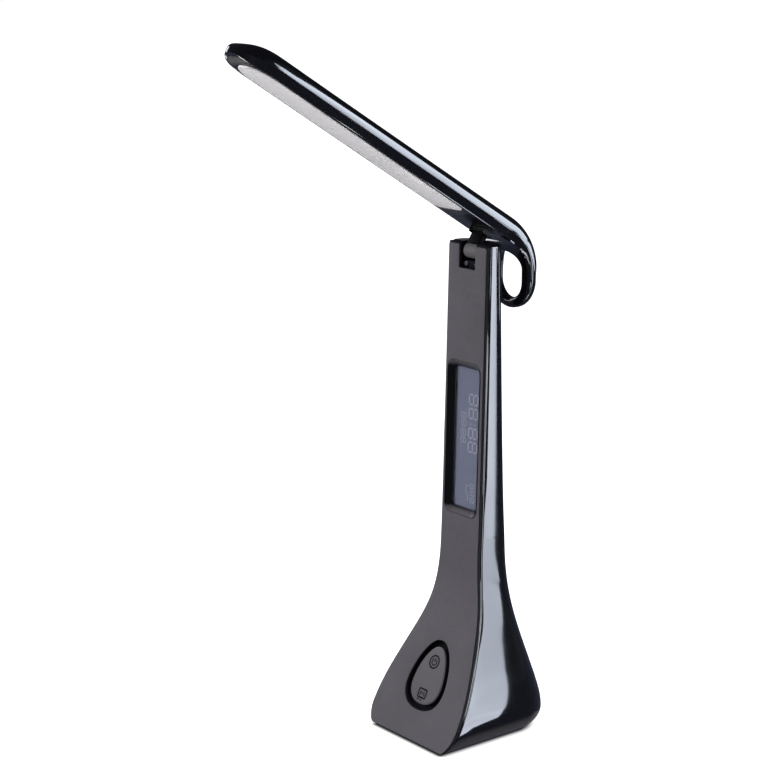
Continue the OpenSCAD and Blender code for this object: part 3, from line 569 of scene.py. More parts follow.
def egg(grow):
    """Outline of the key up the slope: blunter than an ellipse, and narrower towards its top."""
    points = []
    for k in range(96):
        turn = 2 * pi * k / 96
        up = sin(turn)
        bulge = max(0, 1 - abs(up) ** egg_power) ** (1 / egg_power)
        side = copysign((key_w / 2 + grow) * (1 - egg_lean * up) * bulge, cos(turn))
        points.append((side, (key_l / 2 + grow) * up - egg_drop))
    return points


def sheet_outline(z0, z1, inset, notch):
    """Outline of a sheet on the front, with the notch for the hinge in its top edge."""
    steps = [z for z in levels if z0 + 0.3 < z < z1 - 0.3]
    edge_r = 1.0
    right = [(half_w(z) - inset, z) for z in [z0] + steps if z < z1 - edge_r]
    corner = arc(half_w(z1 - 2) - inset - edge_r, z1 - edge_r, edge_r, 0, 90, 5)
    notch_x = notch_w / 2 + notch
    low = stand_h - notch_h - notch
    inner_r = 0.5
    cut = [(notch_x, z1)] + arc(notch_x - inner_r, low + inner_r, inner_r, 0, -90, 4)
    half = right + corner + cut
    return half + [(-x, z) for x, z in reversed(half)]


def on_front(x, z, lift):
    return Vector((x, front_y(z) - lift, z))


def sunk(depth):
    """Puts a plate's points on the front, a depth below its face."""
    return lambda x, z, lift: on_front(x, z, lift - depth)


def in_order(bm):
    """Sorts faces by their corners, so that every run lists them in the same order."""
    bm.verts.index_update()
    count = len(bm.verts)

    def rank(face):
        first, second, third = sorted(vert.index for vert in face.verts)[:3]
        return (first * count + second) * count + third

    bm.faces.sort(key=rank)


def plate(outlines, cuts, thick, edge_r, place, steps=4):
    """A plate with holes and rounded front edges: outlines of (across, up) points, cut across
    at each of cuts, and put in its place by place(across, up, height above the face)."""
    bm = bmesh.new()
    edges = []
    for outline in outlines:
        verts = [bm.verts.new((x, up, -thick)) for x, up in outline]
        edges += [bm.edges.new(pair) for pair in zip(verts, verts[1:] + verts[:1])]
    bmesh.ops.triangle_fill(bm, use_beauty=True, edges=edges, normal=(0, 0, 1))
    for up in cuts:
        bmesh.ops.bisect_plane(bm, geom=bm.verts[:] + bm.edges[:] + bm.faces[:], dist=0.04,
                               plane_co=(0, up, 0), plane_no=(0, 1, 0))
    bmesh.ops.remove_doubles(bm, verts=bm.verts, dist=0.05)
    made = bmesh.ops.extrude_face_region(bm, geom=bm.faces[:], use_keep_orig=True)["geom"]
    front = [part for part in made if isinstance(part, bmesh.types.BMFace)]

    def lift(height):
        verts = {vert for face in front for vert in face.verts}
        bmesh.ops.translate(bm, verts=list(verts), vec=(0, 0, height))

    lift(thick - edge_r)
    for k in range(steps):
        turn = pi / 2 * k / steps
        next_turn = pi / 2 * (k + 1) / steps
        bmesh.ops.inset_region(bm, faces=front, thickness=edge_r * (cos(turn) - cos(next_turn)),
                               use_boundary=True, use_even_offset=False)
        lift(edge_r * (sin(next_turn) - sin(turn)))
    for vert in bm.verts:
        vert.co = place(*vert.co)
    close_up(bm)
    in_order(bm)
    return bm


def moulded(name, colour, roughness, grain, depth, uneven=0.12, shine=0.5):
    """Matt plastic with a fine texture: the size of its grain and how deep it is. Its colour may
    be a function that makes one in the node tree."""
    finish, tree, place = started(name)
    fine = place.noise(1 / (grain * mm), 3)
    cloud = place.noise(45, 3)
    tone = (fine * 0.5 + cloud * 0.5).ranged(0.3, 0.7, 1 - uneven, 1 + uneven)
    shade = colour(tree) if callable(colour) else colour
    tinted = tree.node("ShaderNodeVectorMath", {"operation": "SCALE"}, {0: shade, "Scale": tone})
    bump = tree.node("ShaderNodeBump", {}, {"Strength": 0.6, "Distance": depth * mm, "Height": fine})
    shader = tree.node("ShaderNodeBsdfPrincipled", {}, {
        "Base Color": tinted, "Roughness": cloud * 0.12 + roughness - 0.06,
        "Specular IOR Level": shine, "Normal": bump})
    tree.node("ShaderNodeOutputMaterial", {}, {"Surface": shader})
    return finish


def leather(name, colour, roughness):
    """Grained sheet: small cells with soft creases between them, over finer pores."""
    finish, tree, place = started(name)
    bent = tree.node("ShaderNodeVectorMath", {"operation": "MULTIPLY_ADD"},
                     {0: place.noise(700, 2, "Color"), 1: (0.0006, 0.0006, 0.0006), 2: place})
    cells = tree.node("ShaderNodeTexVoronoi", {"feature": "SMOOTH_F1"},
                      {"Vector": bent, "Scale": 1150, "Smoothness": 0.6})
    relief = 1 - cells + place.noise(4200, 2) * 0.25
    tone = (relief * 0.35 + place.noise(30, 3) * 0.65).ranged(0.25, 0.75, 0.86, 1.14)
    tinted = tree.node("ShaderNodeVectorMath", {"operation": "SCALE"}, {0: colour, "Scale": tone})
    bump = tree.node("ShaderNodeBump", {}, {"Strength": 0.5, "Distance": 0.00009, "Height": relief})
    shader = tree.node("ShaderNodeBsdfPrincipled", {}, {
        "Base Color": tinted, "Roughness": relief * 0.08 + roughness, "Specular IOR Level": 0.3,
        "Normal": bump})
    tree.node("ShaderNodeOutputMaterial", {}, {"Surface": shader})
    return finish


cover_black = moulded("cover_black", (0.008, 0.008, 0.010), 0.6, 0.5, 0.02, shine=0.06)
sheet_grey = leather("sheet_grey", (0.077, 0.072, 0.083), 0.56)


def key_hole(grow):
    """Outline of the key in the front's own heights."""
    return [(x, key_z + up * cos(key_angle)) for x, up in egg(grow)]


def front_plate(z0, z1, inset, gap, thick, edge_r, depth):
    """A sheet between two heights of the front, drawn in by inset, its holes wider by gap."""
    outlines = [sheet_outline(z0, z1, inset, 0.0 if depth else 0.1),
                rounded(lcd_w + 0.3 + gap, lcd_h + 0.3 + gap, lcd_r + 0.1, 0, lcd_z),
                key_hole(0.2 + gap)]
    bends = [z for z in levels if z0 + 1 < z < z1 - 1]
    return plate(outlines, bends, thick, edge_r, sunk(depth))


piece("cover", front_plate(foot_t, stand_h - 0.4, 0.1, 0.0, cover_t, 0.2, skin_t), cover_black,
      "stand", ["front_cover"])
piece("grained_sheet", front_plate(foot_t + 0.4, stand_h - 1.4, 0.45, 0.1, skin_t, 0.3, 0), sheet_grey,
      "stand", ["front_skin"])


# ---- Display ----
# A semi-gloss black surround, moulded with a wide bevel that leads down to the window. Behind
# a clear window stands the display's own glass, whose unlit figures show faintly.
bevel_d = 2.8
bezel_t = bevel_d + 2.3
glass_w = 18.6
glass_h = 75.2
window_at = 2.95
window_t = 0.8
glass_at = 3.8
glass_t = 3.9
print_t = 0.05
bends = list(range(122, 196, 3))    # heights where flat sheets are cut to follow the front


def framed(w, h, r, steps=6, side=12):
    """Outline of the display's frame, its long sides divided to follow the front's curve."""
    points = rounded(w, h, r, 0, lcd_z, steps)
    quarter = steps + 1
    divided = []
    for k, point in enumerate(points):
        divided.append(point)
        if k % quarter == quarter - 1:
            beyond = points[(k + 1) % len(points)]
            divided += [(blend(point[0], beyond[0], n / side), blend(point[1], beyond[1], n / side))
                        for n in range(1, side)]
    return divided + divided[:1]


def rimmed(loops):
    """A closed surface through loops of (outline, height above the front)."""
    bm = bmesh.new()
    drape(bm, [[on_front(x, z, lift) for x, z in outline] for outline, lift in loops + loops[:1]])
    close_up(bm)
    return bm


def painted_lit_ends(tree):
    """Painted light: grey at the display's two ends as if lit, black along its long sides as if in shade.
    """
    up = tree.node("ShaderNodeTexCoord", {}, {}, "Object").axis("Z") - lcd_z * mm
    end = up.math("ABSOLUTE", up).ranged(37.2 * mm, 39.6 * mm, kind="SMOOTHSTEP")
    return end.mixed((0.003, 0.003, 0.004), (0.070, 0.065, 0.076))


# the surround's colour has painted light: its bevel grey at the two ends as if lit, black along the long
# sides as if in shade
surround_black = moulded("surround_black", painted_lit_ends, 0.3, 0.4, 0.012, shine=0.15)
piece("display_surround", rimmed([
    (framed(glass_w + 3, glass_h + 2.4, 2), -bezel_t),
    (framed(lcd_w, lcd_h, lcd_r), -bezel_t),
    (framed(lcd_w, lcd_h, lcd_r), -0.25),
    (framed(lcd_w - 0.14, lcd_h - 0.14, lcd_r - 0.07), -0.07),
    (framed(lcd_w - 0.5, lcd_h - 0.5, lcd_r - 0.25), 0),
    (framed(lcd_w - 0.9, lcd_h - 0.9, lcd_r - 0.4), -0.07),
    (framed(lcd_w - 1.3, lcd_h - 1.2, lcd_r - 0.55), -0.3),
    (framed(glass_w + 0.5, glass_h + 0.5, 2.1), -bevel_d + 0.25),
    (framed(glass_w + 0.1, glass_h + 0.1, 1.9), -bevel_d),
    (framed(glass_w, glass_h, 1.9), -window_at),
    (framed(glass_w + 3, glass_h + 2.4, 2), -window_at),
]), surround_black, "stand", ["lcd_bezel"])

clear = bpy.data.materials.new("clear_window")
tree = blank(clear)
rim = tree.node("ShaderNodeFresnel", {}, {"IOR": 1.45})
tint = tree.node("ShaderNodeBsdfTransparent", {}, {"Color": (0.88, 0.90, 0.94, 1)})
shine = tree.node("ShaderNodeBsdfGlossy", {}, {"Color": (0.9, 0.93, 1, 1), "Roughness": 0.06})
inner_side = tree.node("ShaderNodeNewGeometry", {}, {}, "Backfacing")
pane = tree.node("ShaderNodeMixShader", {}, {0: rim * (1 - inner_side), 1: tint, 2: shine})
tree.node("ShaderNodeOutputMaterial", {}, {"Surface": pane})
piece("display_window", plate([rounded(glass_w + 2.8, glass_h + 2.2, 1.9, 0, lcd_z)],
                              bends, window_t, 0.15, sunk(window_at)),
      clear, "stand", ["lcd_window"])

glass_grey = gloss("glass_grey", (0.228, 0.226, 0.262), 0.22, 0.05)
figure_grey = gloss("figure_grey", (0.31, 0.31, 0.355), 0.25, 0.05)
piece("display_glass", plate([rounded(glass_w + 2.6, glass_h + 2, 0.6, 0, lcd_z)],
                             bends, glass_t, 0.1, sunk(glass_at)),
      glass_grey, "stand", ["lcd_glass"])


def ribbon(bm, path, width, height, place, closed=False):
    """A flat raised stroke along a path of (across, up) points."""
    section = [(-1, -0.2), (-1, 0.7), (-0.8, 1), (0.8, 1), (1, 0.7), (1, -0.2), (-1, -0.2)]
    rows = []
    count = len(path)
    for k, (x, up) in enumerate(path):
        before = path[k - 1] if k or closed else path[k]
        after = path[(k + 1) % count] if k < count - 1 or closed else path[k]
        lead = Vector((after[0] - before[0], after[1] - before[1])).normalized() * (width / 2)
        rows.append([place(x + lead.y * side, up - lead.x * side, height * lift) for side, lift in section])
    if closed:
        rows.append(rows[0])
    else:
        first, last = [[sum(row[:-1], Vector()) / 6] * 7 for row in (rows[0], rows[-1])]
        rows = [first] + rows + [last]
    drape(bm, rows)


on_glass = sunk(glass_at - 0.04)


def figure(bm, side, up, w, h):
    """An eight of seven unlit strokes. It lies on its side, for a lamp that is read from there."""
    gap = w * 0.09
    for x0, y0, x1, y1 in ((0, h, w, h), (w, h / 2, w, h), (w, 0, w, h / 2), (0, 0, w, 0),
                           (0, 0, 0, h / 2), (0, h / 2, 0, h), (0, h / 2, w, h / 2)):
        lead = Vector((x1 - x0, y1 - y0)).normalized() * gap
        path = [(x0 + lead.x, y0 + lead.y), (x1 - lead.x, y1 - lead.y)]
        ribbon(bm, [(side - y, up + x) for x, y in path], w * 0.17, print_t, on_glass)


figures = bmesh.new()
# the time, the alarm and the temperature, from large to small
for side, w, h, places in ((7.6, 5.2, 6.8, (151.5, 159, 169.5, 177)),
                           (-1.4, 2.9, 3.7, (155.5, 159.6, 164.7, 168.8)),
                           (6.6, 2.5, 3.2, (124.5, 128.2, 131.9))):
    for up in places:
        figure(figures, side, up, w, h)
# their colons, and the degree sign's hook
for side, up in ((6, 166.4), (2.8, 166.4), (-2.4, 163.5), (-3.8, 163.5)):
    ribbon(figures, [(side, up), (side - 0.7, up)], 0.7, print_t, on_glass)
hook = [(1.6, 125), (1.6, 128), (0.2, 129.5), (0.2, 133), (2.2, 133)]
ribbon(figures, hook, 0.5, print_t, on_glass)
close_up(figures)
piece("display_figures", figures, figure_grey, "stand")


# ---- Rocker key ----
# A grey cap, moulded to an egg outline and a little crowned, lies just below the sheet on a
# black body that rocks on two pins over two switches. Its marks are printed: light on or off
# above, the display's settings below.
key_gap = 3.2
key_sunk = 0.3
flange_top = -3.6
flange_t = 1.4
flange_out = 1.2
key_axis = -4.6
pin_l = 38
crown_h = 0.45
edge_r = 0.55
cap_t = 0.9
face_up = Vector((0, sin(key_angle), cos(key_angle)))
face_out = Vector((0, -cos(key_angle), sin(key_angle)))
key_centre = Vector((0, front_y(key_z), key_z))


def on_slope(x, up, lift):
    return key_centre + Vector((x, 0, 0)) + face_up * up + face_out * lift


def on_key(x, up, lift):
    crown = crown_h * (1 - (x / 14) ** 2 - ((up + 1) / 18) ** 2)
    return on_slope(x, up, lift + crown - key_sunk - 0.2)


def eggs(grow, shares, put, lift):
    """Egg outlines that close in on the key's middle, at a height that put() gives."""
    return [[put(x * share, (up + 1) * share - 1, lift) for x, up in egg(grow)] for share in shares]


def wrapped(bm, rows):
    """Lays a closed surface over rows that each run once round a body."""
    drape(bm, [row + row[:1] for row in rows])
    close_up(bm)


key = bmesh.new()
rows = eggs(flange_out, (0, 0.5, 1), on_slope, flange_top - flange_t)
rows += eggs(flange_out, (1,), on_slope, flange_top)
rows += eggs(-key_gap, (1,), on_slope, flange_top)
wrapped(key, rows + eggs(-key_gap, (1, 0.8, 0.5, 0.2, 0), on_key, -cap_t))
pins = Matrix.Translation(on_slope(0, 0, key_axis)) @ Matrix.Rotation(radians(90), 4, "Y")
bmesh.ops.create_cone(key, cap_ends=True, segments=32, radius1=1, radius2=1, depth=pin_l, matrix=pins)
piece("key_body", key, cover_black, "rocker_key", ["rocker_key"])

cap = bmesh.new()
rows = eggs(-key_gap, (0, 0.3, 0.7, 1), on_key, 0.02 - cap_t)
for k in range(6):
    turn = pi / 2 * k / 5
    rows += eggs(-key_gap - edge_r * (1 - cos(turn)), (1,), on_key, edge_r * (sin(turn) - 1))
wrapped(cap, rows + eggs(-key_gap - edge_r, (0.93, 0.8, 0.6, 0.4, 0.2, 0), on_key, 0))
key_grey = moulded("key_grey", (0.080, 0.075, 0.086), 0.42, 0.35, 0.02, 0.08)
piece("key_cap", cap, key_grey, "rocker_key")

power_up = 6.6
frame_up = -11.1
bold, fine = 0.85, 0.7
marks = bmesh.new()
for path, width, closed in (
        (arc(0, power_up, 3.4, 0, 351, 40), bold, True),
        (arc(0, power_up, 1.8, 128, 412, 40), fine, False),
        ([(0, power_up + 0.1), (0, power_up + 2.2)], bold, False),
        (rounded(6, 4.6, 0.7, -0.2, frame_up, 4), bold, True),
        ([(-2, -12.3), (-1.1, -9.9), (-0.2, -11.7), (0.7, -9.9), (1.6, -12.3)], bold, False),
        ([(-2.9, -14.6), (-1.5, -14.6)], bold, False),
        ([(-0.4, -14.6), (0.6, -14.6)], bold, False)):
    ribbon(marks, path, width, print_t, on_key, closed)
close_up(marks)
mark_black = moulded("mark_black", (0.004, 0.004, 0.005), 0.6, 0.3, 0.005, shine=0.05)
piece("key_marks", marks, mark_black, "rocker_key")


# ---- Clock keys ----
# Three small round keys on the back set the clock. Each is a black moulding with a collar
# that keeps it in its hole, and a thin stem that ends over a switch of its own.
def turned(rings, put, sides=64):
    """A turned body: rings of (radius, height) about an axis, placed by put(x, y, height)."""
    bm = bmesh.new()
    rows = []
    for r, height in rings:
        rows.append([put(r * cos(2 * pi * k / sides), r * sin(2 * pi * k / sides), height)
                     for k in range(sides)])
    wrapped(bm, rows)
    return bm


def rounded_edge(r, height, edge, steps=5):
    """The rings of a round outer edge that ends at a height."""
    turns = [pi / 2 * k / steps for k in range(steps + 1)]
    return [(r - edge + edge * cos(turn), height - edge + edge * sin(turn)) for turn in turns]


stem_r = 1.2
stem_l = 5.2
collar_r = clock_key_d / 2 + 0.8
collar_at = 2.1
collar_t = 1
proud = 0.8
clock_black = moulded("clock_black", (0.012, 0.012, 0.014), 0.38, 0.35, 0.015)
for number, z in enumerate(clock_key_z, 1):
    outer = rear_y(z)
    r = clock_key_d / 2
    rings = [(0, outer - stem_l), (stem_r, outer - stem_l), (stem_r, outer - collar_at - collar_t),
             (collar_r, outer - collar_at - collar_t), (collar_r, outer - collar_at),
             (r, outer - collar_at)]
    rings += rounded_edge(r, outer + proud, 0.35)
    rings += [(r * 0.5, outer + proud - 0.08), (0, outer + proud - 0.14)]
    button = turned(rings, lambda x, y, height: Vector((x, height, z + y)))
    piece(f"clock_button_{number}", button, clock_black, f"clock_key_{number}",
          [f"clock_key_{number}"])


# ---- Hinge ----
# The grey barrel turns on a steel pin between brass washers, with friction that holds the head
# at any angle. A flat black arm runs up from it and spreads into a foot inside the head.
head_tilt = radians(31.5)
pivot = Vector((0, 6.8, 257.2))
barrel_r = 4.1
barrel_l = 10.4
pin_r = 1.5
under = 11.2
frame_t = 2.2
arm_w = 8.4
arm_s = 2.1             # the middle of the arm's thickness, from the pin towards the tip
arm_t = 3.8
arm_low = 2.3
foot_w = 17.4
foot_l = 17
foot_s = 6.5            # the same for its foot
foot_z = under + frame_t + 1.2
foot_h = 1.6


def on_head(x, s, m):
    """A place on the head: x across, s from the pin towards the tip, m away from the table."""
    return Vector((x, pivot.y - cos(head_tilt) * s + sin(head_tilt) * m,
                   pivot.z + sin(head_tilt) * s + cos(head_tilt) * m))


half = barrel_l / 2
rim = rounded_edge(barrel_r, half, 0.6)
rings = [(pin_r + 0.05, -half + 0.2), (pin_r + 0.25, -half)] + [(r, -h) for r, h in reversed(rim)]
rings += rim + [(pin_r + 0.25, half), (pin_r + 0.05, half - 0.2), (pin_r + 0.05, -half + 0.2)]
barrel_grey = moulded("barrel_grey", (0.105, 0.10, 0.105), 0.5, 0.4, 0.01, shine=0.3)
piece("hinge_knuckle", turned(rings, lambda x, y, height: on_head(height, x, y)), barrel_grey,
      "head", ["hinge_barrel"])

rows = [[on_head(0, arm_s, arm_low)] * 20]
for m in (arm_low, 4, 6, 8, 10, 12, foot_z - 0.6):
    rows.append([on_head(x, s, m) for x, s in rounded(arm_w + 0.8, arm_t, 0.9, 0, arm_s, 4)])
rows.append([on_head(x, s, foot_z) for x, s in rounded(arm_w + 1.2, arm_t + 1.2, 1.3, 0, arm_s, 4)])
for m in (foot_z, foot_z + foot_h):
    rows.append([on_head(x, s, m) for x, s in rounded(foot_w, foot_l, 1.5, 0, foot_s, 4)])
rows.append([on_head(0, foot_s, foot_z + foot_h)] * 20)
arm = bmesh.new()
wrapped(arm, rows)
arm_black = moulded("arm_black", (0.004, 0.004, 0.005), 0.4, 0.4, 0.006, shine=0.02)
piece("hinge_strut", arm, arm_black, "head", ["hinge_arm"])


# ---- Bracket screws ----
# Three zinc-plated screws with round heads and crossed slots hold the hinge's bracket to the
# housing. The upper two lie in the notch, below the barrel.
screw_face = 3.35       # the front of the heads, behind the middle of the base
screw_tip = 6.6
slot_w = 0.45
slot_l = 1.9
screw_at = ((-4.2, 250.3), (4.2, 250.3), (0, 243.2))


def metal(name, colour, roughness):
    """Bare or plated metal, a little rougher in some places than in others."""
    finish, tree, place = started(name)
    shader = tree.node("ShaderNodeBsdfPrincipled", {}, {
        "Base Color": (*colour, 1), "Metallic": 1.0,
        "Roughness": place.noise(900, 3) * 0.2 + roughness - 0.1})
    tree.node("ShaderNodeOutputMaterial", {}, {"Surface": shader})
    return finish


zinc = metal("zinc", (0.72, 0.72, 0.74), 0.3)
screws = bmesh.new()
crosses = []
rings = [(0, screw_tip), (0.9, screw_tip), (0.9, 1), (1.45, 1), (1.65, 0.85), (1.62, 0.6), (1.48, 0.36),
         (1.2, 0.17), (0.8, 0.05), (0.4, 0.01), (0, 0)]
for x, z in screw_at:
    drape(screws, [[(x + r * cos(2 * pi * k / 48), screw_face + depth, z + r * sin(2 * pi * k / 48))
                    for k in range(49)] for r, depth in rings])
    for w, h in ((slot_l, slot_w), (slot_w, slot_l)):
        slot = bmesh.new()
        bmesh.ops.create_cube(slot, size=1, matrix=Matrix.Translation((x, screw_face, z))
                              @ Matrix.Diagonal((w, 1, h, 1)))
        crosses.append(slot)
close_up(screws)
cut_away(piece("hinge_bracket_screws", screws, zinc, "stand", ["bracket_screws"]), crosses)


# ---- Head shell ----
# One gloss black moulding: a slab with a blunt nose that bends over at its rear into a ring,
# which is wider than the slab and rounded all over. Below, it is open for the light.
head_l = 184.5
head_w = 30.0
head_t = 11.0
swell = 0.7             # how much thicker the slab is at its rear
slab_power = 4.4        # the section's superellipse, and the ring's
ring_power = 3.5
parting = 0.36          # height of the widest place, as a share of the section
side_l = 22.5
fall_l = 17.0
rise_l = 12.0
bend_y = 3.6
bend_r = 24.0
bend_z = under - bend_r
bend_angle = pi / 2 - head_tilt
ring_half = head_w / 2 + 1.8
ring_out = 32.95
ring_in = 25.35
ring_drop = 19.7
bend_l = (ring_in + ring_out) / 2 * bend_angle
split_at = -17.0
hole_half = 9.4
hole_core = (-2.5, 4.7)
hole_round = 2.6
lip = 1.95
nose_rise = 1.7
nose_t = 2.9
pocket_roof = 20.1
roof_share = 0.78


def past(s, length):
    """How far a place is into the last stretch before the nose, as a share of that stretch."""
    return max(0, s - head_l + length) / length


def nose_top(s):
    fall = sqrt(max(0, 1 - past(s, fall_l) ** 2.2))
    thicker = swell * min(1, max(0, 1 - s / 150)) ** 1.5
    return under + nose_t + (head_t - nose_t) * fall + thicker


def nose_under(s):
    return under + nose_rise * past(s, rise_l) ** 2


def falls(share, power):
    """Height of a superellipse at a share of its half width."""
    return max(0, 1 - abs(share) ** power) ** (1 / power)


# shares of the half width, close together where the side turns over
turns = [90 * (1 - k / 18) for k in range(18)] + [3, 1.5, 0.4, 0.05, 0]
across = [cos(radians(turn)) ** (2 / slab_power) for turn in turns]
columns = len(across) - 1
flat_share = 0.88
edge_share = 0.915
edge_depth = 0.87


def lean(share):
    """The lower half of the slab's side: it leans in to a small round edge. Depth at a share."""
    if share > edge_share:
        return edge_depth * (1 - share) / (1 - edge_share)
    if share > flat_share:
        turn = (share - flat_share) / (edge_share - flat_share)
        return edge_depth + (1 - edge_depth) * sqrt(max(0, 1 - turn ** 2))
    return 1


def slab_row(turn, s, hollow):
    """Round the slab from the middle of its top, by its right side, to the middle below."""
    w = head_w / 2 * cos(turn)
    top, low = nose_top(s), nose_under(s)
    middle = low + (top - low) * parting
    points = [on_head(w * share, s, middle + (top - middle) * falls(share, slab_power)) for share in across]
    if not hollow:
        return points + [on_head(w * share, s, middle - (middle - low) * lean(share))
                         for share in reversed(across[:-1])]
    for share in (0.999, 0.98, 0.95, edge_share, 0.911, 0.898, flat_share):
        points.append(on_head(w * share, s, middle - (middle - low) * lean(share)))
    # the recess closes in at the nose like the shell does, a lip's width inside it
    inside = w * (1 - 2 * lip / head_w)
    s_in = s - lip * sin(turn)
    low = nose_under(s_in)
    roof = min(pocket_roof, nose_top(s_in) - 1.3)
    seat = min(low + frame_t + 0.15, roof - 0.4)
    for share, m in ((1.004, low), (1, low + 0.08), (1, seat), (0.97, seat), (0.97, roof - 3.2),
                     (roof_share, roof)):
        points.append(on_head(inside * share, s_in, m))
    rest = 2 * columns - len(points) + 1
    return points + [on_head(inside * roof_share * (1 - k / rest), s_in, roof) for k in range(1, rest + 1)]


def bar(d):
    """The bar's section at a distance past the bend's end: half width, inner and outer radius,
    where its two halves meet, the upper half's power, and how far it has turned into the ring."""
    f = ease(1 + d / bend_l)
    u = min(1, max(0, 1 + d / bend_l))
    inner = blend(bend_r, ring_in, f)
    outer = blend(bend_r + head_t + swell, ring_out, u ** 2.5)
    middle = blend(inner, outer, blend(parting, 0.5, f))
    return blend(head_w / 2, ring_half, f), inner, outer, middle, blend(slab_power, ring_power, f), f


def in_bend(x, r, d):
    """A place in the bend, or on the straight past its end: x across, r from the bend's axis."""
    a = bend_angle * min(1, 1 + d / bend_l)
    d = max(0, d)
    return on_head(x, -(bend_y + r * sin(a) + d * cos(a)), bend_z + r * cos(a) - d * sin(a))


def on_bar(x, d, upper):
    """A point on the upper or the lower skin of the bend and its ring, with the hole's round edge."""
    half_width, inner, outer, middle, power, f = bar(d)
    end = ring_drop - ring_half
    share = min(1, (hypot(x, d - end) if d > end else abs(x)) / half_width)
    core = min(hole_core[1], max(hole_core[0], d))
    away = hypot(x, d - core) - hole_half
    edge = sqrt(max(0, 1 - max(0, 1 - away / hole_round) ** 2))
    if upper:
        return in_bend(x, middle + (outer - middle) * falls(share, power) * edge, d)
    drop = blend(lean(share), falls(share, ring_power), f)
    return in_bend(x, middle - (middle - inner) * drop * edge, d)


def bend_row(d):
    half_width = bar(d)[0]
    return ([on_bar(half_width * share, d, True) for share in across]
            + [on_bar(half_width * share, d, False) for share in reversed(across[:-1])])


def both_sides(row):
    """A row round the head, closed, from its right half."""
    return row + [Vector((-point.x, point.y, point.z)) for point in reversed(row[:-1])]


rows = []
for k in range(19):
    turn = pi / 2 * (1 - k / 18)
    rows.append(slab_row(turn, head_l - side_l * (1 - sin(turn)), True))
for k in range(1, 15):
    rows.append(slab_row(0, blend(head_l - side_l, 1.5, k / 15), True))
rows.append(slab_row(0, -1.5, True))
rows.append(slab_row(0, -1.5, False))
rows.append(slab_row(0, -2.6, False))
for k in range(8):
    rows.append(bend_row(blend(-bend_l, split_at, k / 7)))
head = bmesh.new()
drape(head, [both_sides(row) for row in rows])

# rays from the hole's edge outwards: to the last row, and to the ring's own outline
half_width = bar(split_at)[0]
goals = [(half_width * side * share, split_at) for side, shares in ((-1, across[:0:-1]), (1, across))
         for share in shares]
round_at = ring_drop - ring_half
outline = [(bar(d)[0], d) for d in [blend(split_at, round_at, k / 12) for k in range(1, 13)]]
outline += [(ring_half * cos(pi / 2 * k / 16), round_at + ring_half * sin(pi / 2 * k / 16))
            for k in range(1, 17)]
goals += outline + [(-x, d) for x, d in reversed(outline[:-1])] + goals[:1]
for upper in (True, False):
    rays = []
    for x, d in goals:
        core = min(hole_core[1], max(hole_core[0], d))
        length = hypot(x, d - core)
        start = (x / length * hole_half, core + (d - core) / length * hole_half)
        room = length - hole_half
        steps = [hole_round / room * (1 - cos(pi / 2 * k / 7)) for k in range(8)]
        rest = 1 - steps[-1]
        if d > split_at:
            begin = max(0.05, 1 - rest * room / ring_half)
            turn = acos(begin ** (ring_power / 2))
            shares = [cos(turn * (1 - k / 10)) ** (2 / ring_power) for k in range(1, 11)]
            steps += [steps[7] + rest * (share - begin) / (1 - begin) for share in shares]
        else:
            steep = ease((abs(x) / half_width - 0.4) / 0.6) * 0.9
            steps += [steps[7] + rest * blend(k / 10, sin(pi / 2 * k / 10) ** (2 / ring_power), steep)
                      for k in range(1, 11)]
        rays.append([on_bar(blend(start[0], x, step), blend(start[1], d, step), upper) for step in steps])
    drape(head, rays)
close_up(head)
piece("head_shell_moulding", head, gloss_black, "head", ["head_shell"], 21)


# ---- Underside plate ----
# A gloss black plate closes the head from below, a hair's breadth inside the shell's lip. It
# holds the diffuser and has a collar that the arm comes out of.
diffuser_w = 22.4
diffuser_near = 26.5
diffuser_far = head_l - 10
diffuser_r = 4.5
tip_l = 16
tip_power = 2.3
collar_l = 5.4
collar_h = 2.6


def light_outline(grow):
    """Outline of the diffuser: round corners near the hinge, a blunt tip at the nose."""
    w = diffuser_w / 2 + grow
    r = diffuser_r + grow
    points = arc(r - w, diffuser_near + diffuser_r, r, 180, 270, 8)
    points += arc(w - r, diffuser_near + diffuser_r, r, 270, 360, 8)
    for k in range(33):
        turn = pi * k / 32
        side = copysign(w * abs(cos(turn)) ** (2 / tip_power), cos(turn))
        points.append((side, diffuser_far - tip_l + (tip_l + grow) * sin(turn) ** (2 / tip_power)))
    return points


def plate_outline(inset):
    """Outline of the plate: the head's own, drawn in, from the nose to just behind the pin."""
    w = head_w / 2 - inset
    turns = [pi / 2 * k / 24 for k in range(25)]
    nose = [(w * cos(turn), head_l - side_l + (side_l - inset) * sin(turn)) for turn in turns]
    return nose + [(-x, s) for x, s in reversed(nose[:-1])] + [(-w, -1.3), (w, -1.3)]


def below(depth):
    """Puts a plate's points on the head's underside, a depth above it."""
    return lambda x, s, lift: on_head(x, s, nose_under(s) + depth - lift)


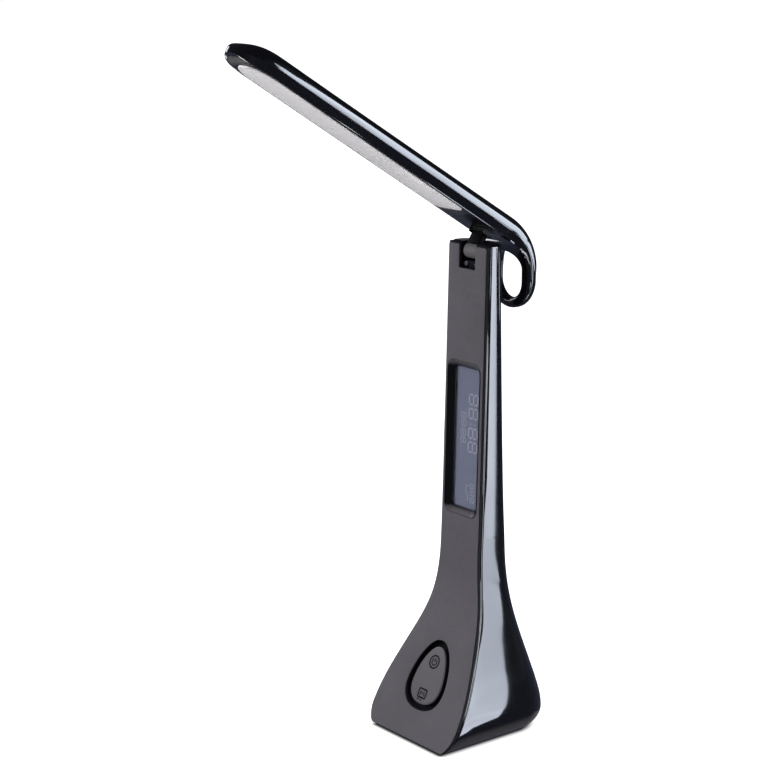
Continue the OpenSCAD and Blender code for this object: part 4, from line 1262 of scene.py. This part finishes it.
cuts = [head_l - rise_l + k for k in range(12)]
trim = plate([plate_outline(lip + 0.14), light_outline(0.15)], cuts, frame_t, 0.25, below(0))
collar = bmesh.ops.create_cube(trim, size=1)["verts"]
for vert in collar:
    x, s, m = vert.co
    vert.co = on_head(x * (arm_w + 1.8), arm_s + 0.2 + s * collar_l, under - 1.2 + m * collar_h)
edges = [edge for edge in trim.edges if edge.verts[0] in collar and edge.verts[1] in collar]
bmesh.ops.bevel(trim, geom=edges, offset=0.5, segments=3, profile=0.5, affect="EDGES", material=-1)
bmesh.ops.recalc_face_normals(trim, faces=trim.faces)
trim_black = moulded("trim_black", (0.004, 0.004, 0.005), 0.3, 0.4, 0.008, shine=0.2)
piece("underside_plate", trim, trim_black, "head", ["head_frame"])


# ---- Diffuser ----
# A milk-white cover over the lights, moulded with round edges. It stands a little proud of the
# plate around it.
diffuser_proud = 0.5
milk = moulded("milk_white", (0.84, 0.815, 0.82), 0.2, 0.6, 0.006, 0.02)
piece("light_cover", plate([light_outline(0)], cuts, frame_t + diffuser_proud, 0.6,
                           below(-diffuser_proud)), milk, "head", ["diffuser"])


# ---- Inner parts, base plate and feet ----
# These keep the shapes they have in the frame. Each gets the finish of what it is made of.
finishes = {
    metal("steel", (0.56, 0.57, 0.58), 0.3): ["base_screws", "board_screws", "key_screws", "lcd_screws",
                                              "hinge_pin", "hinge_nut", "arm_screws"],
    metal("weight_iron", (0.20, 0.20, 0.21), 0.55): ["counterweight"],
    metal("tin_plate", (0.62, 0.61, 0.58), 0.25): ["charge_socket"],
    metal("black_steel", (0.045, 0.045, 0.05), 0.35): ["hinge_bracket"],
    metal("brass", (0.55, 0.40, 0.16), 0.35): ["friction_washers"],
    moulded("rubber", (0.02, 0.02, 0.021), 0.75, 0.5, 0.03): ["rubber_feet"],
    cover_black: ["base_plate"],
    moulded("board_resin", (0.012, 0.075, 0.035), 0.4, 1.5, 0.01): ["main_board", "key_board", "lcd_board"],
    moulded("chip_black", (0.012, 0.012, 0.013), 0.5, 0.5, 0.01): ["board_parts", "buzzer", "key_switches",
                                                                   "clock_switches"],
    moulded("foam", (0.035, 0.035, 0.036), 0.9, 0.7, 0.08): ["battery_pad"],
    moulded("battery_wrap", (0.02, 0.10, 0.30), 0.35, 0.9, 0.01, 0.03): ["battery"],
    moulded("reflector_white", (0.78, 0.78, 0.77), 0.35, 0.8, 0.01, 0.03): ["reflector"],
    moulded("white_resist", (0.62, 0.64, 0.62), 0.4, 0.8, 0.01, 0.04): ["led_board"],
    moulded("led_yellow", (0.70, 0.52, 0.10), 0.3, 0.6, 0.01, 0.05): ["leds"],
}
for finish, names in finishes.items():
    for name in names:
        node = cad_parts[name]
        node.data.materials.clear()
        node.data.materials.append(finish)
